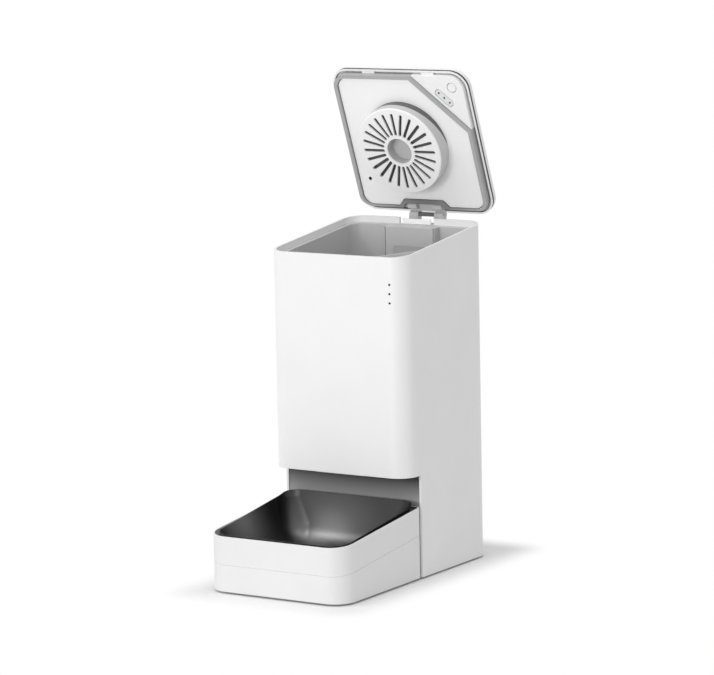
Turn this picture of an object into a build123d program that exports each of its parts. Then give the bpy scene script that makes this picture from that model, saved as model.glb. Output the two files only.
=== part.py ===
from build123d import *

import math
import os

# Automatic dry-food feeder for a pet, with an open hopper lid and a lift-out steel bowl.
# Millimetres. +Y runs from the bowl to the rear, +X is on the right as seen from the bowl,
# +Z is up, and the feet stand on Z = 0.

os.makedirs("parts", exist_ok=True)

# ---------------------------------------------------------------------------
# Driving dimensions
# ---------------------------------------------------------------------------

# housing
body_w = 165.0  # width of housing, tray and lid
body_d = 136.5  # lower housing, from the neck to the rear face
overhang = 28.0  # upper housing's reach over the bowl
body_r = 20.0  # upright corners of the housing and the lid
wall = 2.5  # moulded wall of the housing
front_rim_h = 334.0  # top rim at the front face
rim_tilt = 7.2  # the rim climbs to the rear, degrees
overhang_h = 108.0  # underside of the overhang
foot_h = 1.8  # rubber showing under the base
fit = 0.2  # gap between moulded pieces that are fixed together
run = 0.4  # gap between pieces that move past each other
sliver = 0.02  # gap round a press-on bore

# bowl tray
tray_d = 151.0
tray_gap = 0.8  # dark line between tray and housing
tray_r = 22.0
tray_wall = 2.5
tray_rim_h = 58.6  # tray rim at the tray's front
tray_band = 29.1  # upright height of the upper tray band
tray_tilt = 6.56  # rim and seam climb to the rear, degrees
seam_bevel = 0.6
tray_lip = 1.4  # thin edge left round the bowl
bowl_lip_w = 2.8
bowl_lip_t = 0.9
bowl_t = 0.8
bowl_depth = 42.0
bowl_slant = 17.0  # how far the wall leans in from lip to floor
bowl_front_r = 20.0
bowl_back_r = 16.0
bowl_floor_r = 26.0  # corners of the floor's outline
bowl_round = 30.0  # round between wall and floor
bowl_back_rise = 6.2  # upstand along the bowl's rear edge
bowl_side_rise = 3.4  # upstand at the rear end of the bowl's sides
bowl_bead_h = 0.6  # upstand along the bowl's front edge

# lid
open_angle = 75.9  # from shut to the stored pose
lid_t = 9.0
lid_wall = 2.0
lid_edge_r = 2.4
lid_gap = 0.4  # lid edge over the rim when shut
lid_trim = 0.4  # lid stops this far short of the front face
lid_seam_in = 0.6  # shadow line round the lid's side, from the rim that meets the body
lid_seam_w = 1.4
lid_seam_d = 0.8
hinge_back = 13.5  # hinge axis behind the rear face
hinge_drop = 12.0  # hinge axis under the rear rim
hinge_pin_r = 2.0
barrel_r = 5.5
ledge_depth = 6.5  # rim band, from the rim to the hopper ledge
flange_w = 3.2  # inner panel's flange, under the lid's edge
seal_inset = 4.2
seal_w = 4.0
seal_gap = 0.8  # groove between the seal and the raised panel
plateau_h = 4.0  # how far the inner panel stands into the hopper
panel_t = 1.8
corner_leg = 69.5  # leg of the corner that the seal cuts off

# desiccant box
box_u = -4.0
box_v = 82.0
box_r = 49.0
box_h = 18.0
box_wall = 2.0
slot_count = 24
slot_in_r = 18.0
slot_out_r = 43.5
slot_w = 3.4
cup_r = 14.5
cup_depth = 11.0
cup_t = 1.2

# hopper and dispenser
hopper_inset = 8.5  # inner hopper wall from the housing's outer face
hopper_t = 2.0
column_w = 62.0
column_d = 18.0  # column face from the rear face
column_groove = 1.2
level_drop = 26.0  # level window's middle under the front rim
funnel_h = 36.0
chamber_h = 34.5
chamber_r = 48.0
chamber_wall = 3.0
chamber_rise = 47.5  # dispenser's floor over the overhang's underside
floor_t = 3.0
mouth_r = 44.0
shaft_r = 4.0
vane_count = 6
vane_t = 2.4
outlet_w = 56.0
outlet_d = 20.6

# gear train
gear_module = 1.25
drive_teeth = 36
small_teeth = 12
idler_teeth = 30
pinion_teeth = 12
gear_t = 6.0
motor_r = 14.0
motor_h = 34.0

# power and electronics
cell_r = 16.5
cell_l = 61.0
cell_count = 3
base_t = 3.0
door_t = 2.0
door_travel = 12.0
board_t = 1.6

# ---------------------------------------------------------------------------
# Places worked out from them
# ---------------------------------------------------------------------------

tilt = math.radians(rim_tilt)
lean = math.radians(90.0 - open_angle + rim_tilt)
half_w = body_w / 2
upper_d = body_d + overhang
rear_rim_h = front_rim_h + upper_d * math.tan(tilt)

# hinge axis to the lid's rear edge, shut and then opened
shut_y = -hinge_back
shut_z = hinge_drop + lid_gap
swing = math.radians(open_angle)
open_y = shut_y * math.cos(swing) + shut_z * math.sin(swing)
open_z = -shut_y * math.sin(swing) + shut_z * math.cos(swing)

# the neck is placed so that the stored pose stands about the origin
rear_reach = (
    body_d
    + hinge_back
    + open_y
    + lid_edge_r
    - lid_edge_r * math.sin(lean)
    + (lid_t - lid_edge_r) * math.cos(lean)
)
neck_y = (tray_d - rear_reach) / 2
front_y = neck_y - overhang
rear_y = neck_y + body_d
tray_y = neck_y - tray_d
mid_y = (front_y + rear_y) / 2
axis_y = rear_y + hinge_back
axis_z = rear_rim_h - hinge_drop
lid_y = axis_y + open_y
lid_z = axis_z + open_z
lid_l = upper_d / math.cos(tilt) - lid_trim
base_z = foot_h
chamber_floor = overhang_h + chamber_rise
funnel_bottom = chamber_floor + chamber_h
funnel_top = funnel_bottom + funnel_h
seal_cut = half_w - corner_leg  # where the seal's diagonal would meet the lid's free edge

rim_plane = Plane(
    origin=(0, front_y, front_rim_h),
    x_dir=(1, 0, 0),
    z_dir=(0, -math.sin(tilt), math.cos(tilt)),
)
# x across, y from the hinge side to the free edge, z from the lid into the hopper
lid_plane = Plane(
    origin=(0, lid_y, lid_z),
    x_dir=(1, 0, 0),
    z_dir=(0, -math.cos(lean), -math.sin(lean)),
)
into_hopper = Axis(lid_plane.origin, lid_plane.z_dir)


def rim_z(y):
    """Height of the sloping rim at a depth."""
    return front_rim_h + (y - front_y) * math.tan(tilt)


def lid_side(u):
    """Plane across the lid, with x from the hinge to the free edge and y into the hopper."""
    return Plane(
        origin=lid_plane.from_local_coords((u, 0, 0)),
        x_dir=lid_plane.y_dir,
        z_dir=(1, 0, 0),
    )


def keep_below(plane):
    split(bisect_by=plane, keep=Keep.BOTTOM)


def keep_above(plane):
    split(bisect_by=plane, keep=Keep.TOP)


def finish(part, name):
    """Name a piece and write it."""
    part.label = name
    export_step(part, f"parts/{name}.step")


# ---------------------------------------------------------------------------
# Outlines shared by neighbouring pieces
# ---------------------------------------------------------------------------


def upper_outline(inset):
    """Plan of the upper housing, drawn in by an inset."""
    with Locations((0, mid_y)):
        RectangleRounded(body_w - 2 * inset, upper_d - 2 * inset, body_r - inset)


def lower_outline(inset, front):
    """Plan of the lower housing: square at the neck, round at the rear."""
    with Locations((0, (front + rear_y - inset) / 2)):
        Rectangle(body_w - 2 * inset, rear_y - inset - front)
    fillet(vertices().sort_by(Axis.Y)[-2:], body_r - inset)


# The seal goes round the lid's edge, cuts off one front corner and steps round the hinge.
notch_v = 12.0
notch_top = 22.0
notch_foot = 29.0
reach = 12.0  # how far cutting outlines run past what they cut


def lid_corner(cut):
    """Front corner of the lid beyond a diagonal."""
    return [
        (cut - reach, lid_l + reach),
        (half_w + reach, lid_l - half_w - reach + cut),
        (half_w + reach, lid_l + reach),
    ]


def plan_corner(cut):
    """The same corner on the housing's plan."""
    return [
        (cut - reach, front_y - reach),
        (half_w + reach, front_y + half_w + reach - cut),
        (half_w + reach, front_y - reach),
    ]


def seal_face(shrink):
    """The seal's outer line, drawn in by a distance."""
    with BuildSketch() as face:
        with Locations((0, lid_l / 2)):
            RectangleRounded(
                body_w - 2 * seal_inset, lid_l - 2 * seal_inset, body_r - seal_inset
            )
        Polygon(*lid_corner(seal_cut), align=None, mode=Mode.SUBTRACT)
        Polygon(
            (-notch_foot - 3, -1),
            (-notch_foot, seal_inset),
            (-notch_top, notch_v),
            (notch_top, notch_v),
            (notch_foot, seal_inset),
            (notch_foot + 3, -1),
            align=None,
            mode=Mode.SUBTRACT,
        )
        if shrink:
            offset(amount=-shrink)
    return face.sketch


seal_line = seal_face(0)
plateau_line = seal_face(seal_w + seal_gap)
pocket_line = seal_face(seal_w + seal_gap + panel_t)

# ---------------------------------------------------------------------------
# Housing
# ---------------------------------------------------------------------------

floor_top = overhang_h + wall
neck_shelf = 4.0  # overhang floor's landing behind the neck
panel_set = 1.0  # recess panel behind the side walls' front edges
outlet_front = front_y + wall + 2.4
outlet_mid = outlet_front + outlet_d / 2
led_x = half_w - 16.9
led_z = front_rim_h - 36.8
led_pitch = 9.4
pipe_r = 1.1
hinge_w = 34.4
arm_in = 9.8
arm_out = 20.8
hinge_slot_w = 2 * arm_out + 2 * fit + 0.2
base_top = axis_z + barrel_r
base_foot = base_top - 8.1
socket_x = half_w - 34.5
socket_z = 25.0
socket_w = 10.0
hook_x = 40.0
hook_w = 16.0
hook_z = 12.0
hook_h = 8.0
hook_l = 6.5
hinge_screw_x = 13.0
hinge_flange_h = 18.0
hinge_flange_z = axis_z - 2.8 - hinge_flange_h
hinge_flange_t = 3.0
screw_r = 1.5
screw_head_r = 2.8
hinge_screw_z = hinge_flange_z + hinge_flange_h / 2

boss_r = 4.5
boss_h = 30.0
base_screw_x = half_w - 12.5
base_screws_y = [neck_y + 38.0, rear_y - 42.0]
pipe_l = 8.0
light_board_h = 34.0
rib_root = 0.2  # ribs start this deep in the wall that carries them
seat_w = 2.0
seat_t = 3.0
ledge_plane = rim_plane.offset(-ledge_depth * math.cos(tilt))
flange_plane = ledge_plane.offset(-hopper_t)

# rib round the inside of the shell that carries the hopper's flange
with BuildPart() as hopper_seat:
    with BuildSketch(Plane.XY.offset(front_rim_h - 60)):
        upper_outline(wall - 0.5)
        upper_outline_inner = wall + seat_w
        with Locations((0, mid_y)):
            RectangleRounded(
                body_w - 2 * upper_outline_inner,
                upper_d - 2 * upper_outline_inner,
                body_r - upper_outline_inner,
                mode=Mode.SUBTRACT,
            )
    extrude(amount=120)
    keep_below(flange_plane)
    keep_above(flange_plane.offset(-seat_t))

with BuildPart() as outer_shell:
    with BuildSketch(Plane.XY.offset(overhang_h)):
        upper_outline(0)
    extrude(amount=rear_rim_h)
    with BuildSketch(Plane.XY.offset(base_z)):
        lower_outline(0, neck_y)
    extrude(amount=overhang_h - base_z)
    keep_below(rim_plane)
    with BuildSketch(Plane.XY.offset(floor_top)):
        upper_outline(wall)
    extrude(amount=rear_rim_h, mode=Mode.SUBTRACT)
    # the lower housing is open underneath and at the neck
    with BuildSketch(Plane.XY.offset(base_z)):
        lower_outline(wall, neck_y - 1)
    extrude(amount=overhang_h - base_z, mode=Mode.SUBTRACT)
    with BuildSketch(Plane.XY.offset(overhang_h)):
        lower_outline(wall, neck_y + neck_shelf)
    extrude(amount=2 * wall, mode=Mode.SUBTRACT)
    add(hopper_seat.part)
    # bosses that the base plate is screwed to
    with BuildSketch(Plane.XY.offset(base_z + base_t)):
        for y in base_screws_y:
            for side in (-1, 1):
                with Locations((side * base_screw_x, y)):
                    Circle(boss_r)
                with Locations((side * (base_screw_x + half_w - 1) / 2, y)):
                    Rectangle(half_w - 1 - base_screw_x, 3)
    extrude(amount=boss_h)
    with BuildSketch(Plane.XY.offset(base_z + base_t)):
        for y in base_screws_y:
            with Locations((-base_screw_x, y), (base_screw_x, y)):
                Circle(screw_r + sliver)
    extrude(amount=boss_h - 10, mode=Mode.SUBTRACT)
    # ribs that carry the light board behind the front wall
    with BuildSketch(Plane.XZ.offset(-front_y - wall + rib_root)):
        with Locations((led_x, led_z)):
            with GridLocations(9, 0, 2, 1):
                Rectangle(2, light_board_h)
    extrude(amount=-(pipe_l - wall + rib_root))
    # pads behind the rear wall for the hinge screws
    with BuildSketch(Plane.XZ.offset(-rear_y + wall)):
        with Locations((0, hinge_screw_z)):
            Rectangle(hinge_w, 10)
    extrude(amount=2.5)
    # food outlet in the overhang's floor
    with BuildSketch(Plane.XY.offset(overhang_h - 1)):
        with Locations((0, outlet_mid)):
            RectangleRounded(outlet_w, outlet_d, 3)
    extrude(amount=wall + 2, mode=Mode.SUBTRACT)
    # holes for the three light pipes
    with BuildSketch(Plane.XZ.offset(-front_y + 1)):
        with Locations((led_x, led_z)):
            with GridLocations(0, led_pitch, 1, 3):
                Circle(pipe_r + 0.05)
    extrude(amount=-wall - 2, mode=Mode.SUBTRACT)
    # hinge slot in the rear rim, with the block's seat under it
    with BuildSketch(Plane.XZ.offset(-rear_y - 1)):
        with Locations((0, base_top)):
            Rectangle(hinge_slot_w, rear_rim_h, align=(Align.CENTER, Align.MIN))
        with Locations((0, base_foot)):
            Rectangle(
                hinge_w + 2 * fit, base_top - base_foot + 1, align=(Align.CENTER, Align.MIN)
            )
        with Locations((0, hinge_screw_z)):
            with GridLocations(2 * hinge_screw_x, 0, 2, 1):
                Circle(screw_r + sliver)
        with Locations((socket_x, socket_z)):
            RectangleRounded(socket_w + 2 * fit, socket_w + 2 * fit, 1.5)
    extrude(amount=wall + 3.5, mode=Mode.SUBTRACT)
finish(outer_shell.part, "outer_shell")

with BuildPart() as recess_panel:
    with BuildSketch(Plane.XY.offset(base_z + base_t)):
        with Locations((0, neck_y + panel_set + wall / 2)):
            Rectangle(body_w - 2 * wall - 2 * fit, wall)
    extrude(amount=overhang_h - base_z - base_t)
    with BuildSketch(Plane.XZ.offset(-neck_y)):
        with Locations((0, hook_z + hook_h / 2)):
            with GridLocations(2 * hook_x, 0, 2, 1):
                Rectangle(hook_w + 2 * run, hook_h + 2 * run)
    extrude(amount=-2 * wall - panel_set, mode=Mode.SUBTRACT)
finish(recess_panel.part, "recess_panel")

# battery bay, measured from the rear
bay_gap = 0.5
bay_w = cell_count * (2 * cell_r + bay_gap) + bay_gap
spring_l = 4.0
plate_t = 0.6
bay_l = cell_l + spring_l + 2 * plate_t + 2 * fit
bay_back = rear_y - 20.0
bay_mid = bay_back - bay_l / 2
bay_wall = 2.0
cell_z = base_z + base_t + run + cell_r
bay_top = cell_z + cell_r + run
door_w = bay_w - 2.0
door_l = bay_l - 4.0
foot_r = 7.0
foot_sink = 1.2
foot_x = half_w - 16.5
tray_foot_x = half_w - 20.5
feet_front = neck_y + 16.0
feet_rear = rear_y - 18.0
door_mid = bay_mid

with BuildPart() as base_plate:
    with BuildSketch(Plane.XY.offset(base_z)):
        lower_outline(wall + fit, neck_y + 0.4)
    extrude(amount=base_t)
    # door opening and the shallow track that the door slides along
    with BuildSketch(Plane.XY.offset(base_z)):
        with Locations((0, door_mid)):
            Rectangle(door_w - 4, door_l - 4)
    extrude(amount=base_t, mode=Mode.SUBTRACT)
    with BuildSketch(Plane.XY.offset(base_z)):
        with Locations((0, door_mid - door_travel / 2)):
            Rectangle(door_w + 2 * run, door_l + 2 * run + door_travel)
    extrude(amount=door_t + 0.3, mode=Mode.SUBTRACT)
    with BuildSketch(Plane.XY.offset(base_z)):
        for y in (feet_front, feet_rear):
            with Locations((-foot_x, y), (foot_x, y)):
                Circle(foot_r + 0.1)
    extrude(amount=foot_sink, mode=Mode.SUBTRACT)
    with BuildSketch(Plane.XY.offset(base_z)):
        for y in base_screws_y:
            with Locations((-base_screw_x, y), (base_screw_x, y)):
                Circle(screw_r + 0.1)
    extrude(amount=base_t, mode=Mode.SUBTRACT)
    # air slots under the motor
    with BuildSketch(Plane.XY.offset(base_z)):
        with Locations((0, neck_y + 24.0)):
            with GridLocations(8, 0, 7, 1):
                SlotOverall(18, 3, rotation=90)
    extrude(amount=base_t, mode=Mode.SUBTRACT)
finish(base_plate.part, "base_plate")

with BuildPart() as base_screws:
    with BuildSketch(Plane.XY.offset(base_z - 0.6)):
        for y in base_screws_y:
            with Locations((-base_screw_x, y), (base_screw_x, y)):
                Circle(screw_head_r)
    extrude(amount=0.6)
    with BuildSketch(Plane.XY.offset(base_z)):
        for y in base_screws_y:
            with Locations((-base_screw_x, y), (base_screw_x, y)):
                Circle(screw_r)
    extrude(amount=14.0)
finish(base_screws.part, "base_screws")

tray_back = neck_y - tray_gap
feet_tray = [tray_y + 24.0, tray_back - 24.0]
with BuildPart() as rubber_feet:
    with BuildSketch():
        for y in (feet_front, feet_rear):
            with Locations((-foot_x, y), (foot_x, y)):
                Circle(foot_r)
        for y in feet_tray:
            with Locations((-tray_foot_x, y), (tray_foot_x, y)):
                Circle(foot_r)
    extrude(amount=foot_h + foot_sink)
    fillet(edges().group_by(Axis.Z)[0], 0.8)
finish(rubber_feet.part, "rubber_feet")

# ---------------------------------------------------------------------------
# Battery bay
# ---------------------------------------------------------------------------

post_r = 3.5
post_h = 10.0
board_w = 108.0
board_d = 62.0
board_z = bay_top + bay_wall + post_h
board_hole = 4.0
board_x = board_w / 2 - board_hole
board_y = board_d / 2 - board_hole

with BuildPart() as battery_box:
    with BuildSketch(Plane.XY.offset(base_z + base_t)):
        with Locations((0, bay_mid)):
            Rectangle(bay_w + 2 * bay_wall, bay_l + 2 * bay_wall)
    extrude(amount=bay_top + bay_wall - base_z - base_t)
    with BuildSketch(Plane.XY.offset(base_z + base_t)):
        with Locations((0, bay_mid)):
            Rectangle(bay_w, bay_l)
    extrude(amount=bay_top - base_z - base_t, mode=Mode.SUBTRACT)
    with BuildSketch(Plane.XY.offset(bay_top + bay_wall)):
        with Locations((0, bay_mid)):
            with GridLocations(2 * board_x, 2 * board_y, 2, 2):
                Circle(post_r)
    extrude(amount=post_h)
    with BuildSketch(Plane.XY.offset(bay_top + bay_wall + 2)):
        with Locations((0, bay_mid)):
            with GridLocations(2 * board_x, 2 * board_y, 2, 2):
                Circle(screw_r + sliver)
    extrude(amount=post_h, mode=Mode.SUBTRACT)
finish(battery_box.part, "battery_box")

cell_pitch = 2 * cell_r + bay_gap
cell_front = bay_mid - bay_l / 2 + fit + plate_t
with BuildPart() as battery_cells:
    with BuildSketch(Plane.XZ.offset(-cell_front)):
        with Locations((0, cell_z)):
            with GridLocations(cell_pitch, 0, cell_count, 1):
                Circle(cell_r)
    extrude(amount=-(cell_l - 2))
    with BuildSketch(Plane.XZ.offset(-cell_front - cell_l + 2)):
        with Locations((0, cell_z)):
            with GridLocations(cell_pitch, 0, cell_count, 1):
                Circle(4.8)
    extrude(amount=-2)
finish(battery_cells.part, "battery_cells")

with BuildPart() as battery_contacts:
    for start in (cell_front - plate_t - fit / 2, cell_front + cell_l + spring_l + fit / 2):
        with BuildSketch(Plane.XZ.offset(-start)):
            with Locations((0, cell_z)):
                with GridLocations(cell_pitch, 0, cell_count, 1):
                    RectangleRounded(18, 18, 2)
        extrude(amount=-plate_t)
    with BuildSketch(Plane.XZ.offset(-cell_front - cell_l - fit / 2)):
        with Locations((0, cell_z)):
            with GridLocations(cell_pitch, 0, cell_count, 1):
                Circle(4.6)
                Circle(3.4, mode=Mode.SUBTRACT)
    extrude(amount=-spring_l)
finish(battery_contacts.part, "battery_contacts")

with BuildPart() as battery_door:
    with BuildSketch(Plane.XY.offset(base_z)):
        with Locations((0, door_mid)):
            Rectangle(door_w, door_l)
    extrude(amount=door_t)
    with BuildSketch(Plane.XY.offset(base_z)):
        with Locations((0, door_mid - door_l / 2 + 9)):
            with GridLocations(0, 3.4, 1, 4):
                SlotOverall(24, 1.4)
    extrude(amount=0.7, mode=Mode.SUBTRACT)
finish(battery_door.part, "battery_door")

# ---------------------------------------------------------------------------
# Main board and power inlet
# ---------------------------------------------------------------------------

board_top = board_z + board_t
with BuildPart() as main_board:
    with BuildSketch(Plane.XY.offset(board_z)):
        with Locations((0, bay_mid)):
            RectangleRounded(board_w, board_d, 2)
            with GridLocations(2 * board_x, 2 * board_y, 2, 2):
                Circle(screw_r + 0.2, mode=Mode.SUBTRACT)
    extrude(amount=board_t)
finish(main_board.part, "main_board")

with BuildPart() as board_screws:
    with BuildSketch(Plane.XY.offset(board_top)):
        with Locations((0, bay_mid)):
            with GridLocations(2 * board_x, 2 * board_y, 2, 2):
                Circle(screw_head_r)
    extrude(amount=1.8)
    with BuildSketch(Plane.XY.offset(board_top)):
        with Locations((0, bay_mid)):
            with GridLocations(2 * board_x, 2 * board_y, 2, 2):
                Circle(screw_r)
    extrude(amount=-8)
finish(board_screws.part, "board_screws")

with BuildPart() as board_chips:
    with Locations((-22, bay_mid, board_top)):
        Box(14, 14, 1.4, align=(Align.CENTER, Align.CENTER, Align.MIN))
    with Locations((2, bay_mid - 12, board_top)):
        Box(9, 6, 1.4, align=(Align.CENTER, Align.CENTER, Align.MIN))
    with Locations((2, bay_mid + 8, board_top)):
        Box(6, 9, 1.4, align=(Align.CENTER, Align.CENTER, Align.MIN))
    with Locations((34, bay_mid + 12, board_top)):
        Box(18, 25, 1, align=(Align.CENTER, Align.CENTER, Align.MIN))
        with Locations((0, -3, 1)):
            Box(16, 17, 2.2, align=(Align.CENTER, Align.CENTER, Align.MIN))
finish(board_chips.part, "board_chips")

with BuildPart() as board_capacitors:
    with Locations((18, bay_mid - 18, board_top), (29, bay_mid - 18, board_top)):
        Cylinder(4, 11, align=(Align.CENTER, Align.CENTER, Align.MIN))
    with Locations((39, bay_mid - 18, board_top)):
        Cylinder(2.5, 7, align=(Align.CENTER, Align.CENTER, Align.MIN))
    fillet(edges().group_by(Axis.Z)[-1], 0.5)
finish(board_capacitors.part, "board_capacitors")

with BuildPart() as board_connectors:
    with Locations((0, bay_mid, board_top)):
        with GridLocations(14, 0, 3, 1):
            with Locations((-26, board_d / 2 - 6, 0)):
                Box(11, 7, 6, align=(Align.CENTER, Align.CENTER, Align.MIN))
finish(board_connectors.part, "board_connectors")

with BuildPart() as power_socket:
    with BuildSketch(Plane.XZ.offset(-rear_y)):
        with Locations((socket_x, socket_z)):
            RectangleRounded(socket_w, socket_w, 1.2)
    extrude(amount=14)
    with BuildSketch(Plane.XZ.offset(-rear_y + wall + fit)):
        with Locations((socket_x, socket_z)):
            Rectangle(socket_w + 4, socket_w + 4)
    extrude(amount=2)
    with BuildSketch(Plane.XZ.offset(-rear_y)):
        with Locations((socket_x, socket_z)):
            Circle(3.1)
            Circle(1.0, mode=Mode.SUBTRACT)
    extrude(amount=9.5, mode=Mode.SUBTRACT)
finish(power_socket.part, "power_socket")

# ---------------------------------------------------------------------------
# Hopper
# ---------------------------------------------------------------------------

hopper_r = body_r - hopper_inset + 2.0
hopper_w = body_w - 2 * hopper_inset
hopper_d = upper_d - 2 * hopper_inset
column_y = rear_y - column_d
post_cut = seal_cut - 6.5  # the hopper's own diagonal, under the seal
dry_cut = post_cut + hopper_t * math.sqrt(2)
post_floor = funnel_top + hopper_t
level_w = 40.0
level_h = 36.0
level_z = front_rim_h - level_drop


# hollow of the rear column, open to the rear, and of the dry corner, open to the shell
with BuildPart() as bin_hollows:
    with BuildSketch(Plane.XY.offset(post_floor)):
        with Locations((0, column_y + hopper_t)):
            Rectangle(column_w - 2 * hopper_t, column_d, align=(Align.CENTER, Align.MIN))
    extrude(amount=rear_rim_h)
    keep_below(flange_plane)
    with BuildSketch(Plane.XY.offset(post_floor)):
        Polygon(*plan_corner(dry_cut), align=None)
    extrude(amount=rear_rim_h)

with BuildPart() as hopper_bin:
    with BuildSketch(Plane.XY.offset(front_rim_h - 40)):
        upper_outline(wall + fit)
    extrude(amount=100)
    keep_above(flange_plane)
    with BuildSketch(Plane.XY.offset(funnel_top)):
        with Locations((0, mid_y)):
            RectangleRounded(hopper_w + 2 * hopper_t, hopper_d + 2 * hopper_t, hopper_r + hopper_t)
    extrude(amount=rear_rim_h)
    keep_below(ledge_plane)
    # food space, kept clear of the rear column and the dry corner
    with BuildSketch(Plane.XY.offset(funnel_top)):
        with Locations((0, mid_y)):
            RectangleRounded(hopper_w, hopper_d, hopper_r)
        with Locations((0, column_y)):
            Rectangle(column_w, column_d, align=(Align.CENTER, Align.MIN), mode=Mode.SUBTRACT)
        Polygon(*plan_corner(post_cut), align=None, mode=Mode.SUBTRACT)
    extrude(amount=rear_rim_h, mode=Mode.SUBTRACT)
    add(bin_hollows.part, mode=Mode.SUBTRACT)
    # sensor window in the column
    with BuildSketch(Plane.XZ.offset(-column_y + 1)):
        with Locations((0, level_z)):
            RectangleRounded(level_w, level_h, 3)
    extrude(amount=-hopper_t / 2 - 1, mode=Mode.SUBTRACT)
    with BuildSketch(Plane.XZ.offset(-column_y + 1)):
        with Locations((0, level_z)):
            Rectangle(level_w - 10, level_h - 10)
    extrude(amount=-hopper_t - 2, mode=Mode.SUBTRACT)
    # the column's front is set off by a groove along each side
    with BuildSketch(Plane.XY.offset(funnel_top)):
        with Locations((0, column_y)):
            with GridLocations(column_w - column_groove - 1.6, 0, 2, 1):
                Rectangle(column_groove, column_groove, align=(Align.CENTER, Align.MIN))
    extrude(amount=rear_rim_h, mode=Mode.SUBTRACT)
finish(hopper_bin.part, "hopper_bin")

with BuildPart() as level_window:
    with BuildSketch(Plane.XZ.offset(-column_y)):
        with Locations((0, level_z)):
            RectangleRounded(level_w - 2 * fit, level_h - 2 * fit, 2.8)
    extrude(amount=-hopper_t / 2)
finish(level_window.part, "level_window")

with BuildPart() as level_sensor:
    with BuildSketch(Plane.XZ.offset(-column_y - hopper_t / 2)):
        with Locations((0, level_z)):
            Rectangle(level_w - 14, level_h - 14)
    extrude(amount=-hopper_t / 2 - 1.6)
    with BuildSketch(Plane.XZ.offset(-column_y - hopper_t - 1.6)):
        with Locations((0, level_z)):
            Rectangle(level_w - 6, level_h - 6)
    extrude(amount=-board_t)
finish(level_sensor.part, "level_sensor")

funnel_flange = 2.5
funnel_boss_h = 8.0
with BuildPart() as hopper_funnel:
    with BuildSketch(Plane.XY.offset(funnel_top)):
        with Locations((0, mid_y)):
            RectangleRounded(hopper_w + 2 * hopper_t, hopper_d + 2 * hopper_t, hopper_r + hopper_t)
    with BuildSketch(Plane.XY.offset(funnel_bottom)):
        with Locations((0, mid_y)):
            Circle(mouth_r + hopper_t)
    loft()
    with BuildSketch(Plane.XY.offset(funnel_bottom)):
        with Locations((0, mid_y)):
            Circle(chamber_r + chamber_wall + 6)
    extrude(amount=funnel_flange)
    with BuildSketch(Plane.XY.offset(funnel_bottom)):
        with Locations((0, mid_y)):
            with PolarLocations(chamber_r + chamber_wall + 3, 4):
                Circle(3.4)
    extrude(amount=funnel_boss_h)
    with BuildSketch(Plane.XY.offset(funnel_top)):
        with Locations((0, mid_y)):
            RectangleRounded(hopper_w, hopper_d, hopper_r)
    with BuildSketch(Plane.XY.offset(funnel_bottom)):
        with Locations((0, mid_y)):
            Circle(mouth_r)
    loft(mode=Mode.SUBTRACT)
    with BuildSketch(Plane.XY.offset(funnel_bottom)):
        with Locations((0, mid_y)):
            with PolarLocations(chamber_r + chamber_wall + 3, 4):
                Circle(screw_r + sliver)
    extrude(amount=funnel_boss_h - 1, mode=Mode.SUBTRACT)
finish(hopper_funnel.part, "hopper_funnel")

# ---------------------------------------------------------------------------
# Dispenser
# ---------------------------------------------------------------------------

window_w = 40.0
window_back = mid_y - 24.0
window_front = mid_y - chamber_r + 4.0
lug_h = 6.0

with BuildPart() as rotor_housing:
    with BuildSketch(Plane.XY.offset(chamber_floor - floor_t)):
        with Locations((0, mid_y)):
            Circle(chamber_r + chamber_wall)
    extrude(amount=funnel_bottom - chamber_floor + floor_t)
    with BuildSketch(Plane.XY.offset(funnel_bottom - lug_h)):
        with Locations((0, mid_y)):
            with PolarLocations(chamber_r + chamber_wall + 3, 4):
                Circle(3.4)
            with PolarLocations(chamber_r + chamber_wall, 4):
                Rectangle(5, 6.8)
    extrude(amount=lug_h)
    with BuildSketch(Plane.XY.offset(chamber_floor)):
        with Locations((0, mid_y)):
            Circle(chamber_r)
    extrude(amount=funnel_bottom - chamber_floor, mode=Mode.SUBTRACT)
    with BuildSketch(Plane.XY.offset(chamber_floor - floor_t)):
        with Locations((0, mid_y)):
            Circle(shaft_r + 0.05)
        with Locations((0, (window_back + window_front) / 2)):
            RectangleRounded(window_w, window_back - window_front, 3)
    extrude(amount=floor_t, mode=Mode.SUBTRACT)
    with BuildSketch(Plane.XY.offset(funnel_bottom - lug_h)):
        with Locations((0, mid_y)):
            with PolarLocations(chamber_r + chamber_wall + 3, 4):
                Circle(screw_r + 0.1)
    extrude(amount=lug_h, mode=Mode.SUBTRACT)
finish(rotor_housing.part, "rotor_housing")

with BuildPart() as housing_screws:
    with BuildSketch(Plane.XY.offset(funnel_bottom - lug_h - 1.6)):
        with Locations((0, mid_y)):
            with PolarLocations(chamber_r + chamber_wall + 3.4, 4):
                Circle(screw_head_r)
    extrude(amount=1.6)
    with BuildSketch(Plane.XY.offset(funnel_bottom - lug_h)):
        with Locations((0, mid_y)):
            with PolarLocations(chamber_r + chamber_wall + 3, 4):
                Circle(screw_r)
    extrude(amount=lug_h + funnel_boss_h - 2)
finish(housing_screws.part, "housing_screws")

cover_t = 2.5
hub_r = 9.0
rotor_top = funnel_bottom - cover_t - run - fit
rotor_bottom = chamber_floor + run
gear_high = chamber_floor - floor_t - 10.5
gear_low = gear_high - gear_t - run
plate_th = 3.0
plate_z = gear_low - plate_th - 1.1
plate_w = 98.0
plate_gap = 2.0  # from the chute's window back to the plate's front edge
plate_d = 2 * (mid_y - window_front - plate_gap)
stirrer_z = funnel_bottom + 3.0

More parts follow.
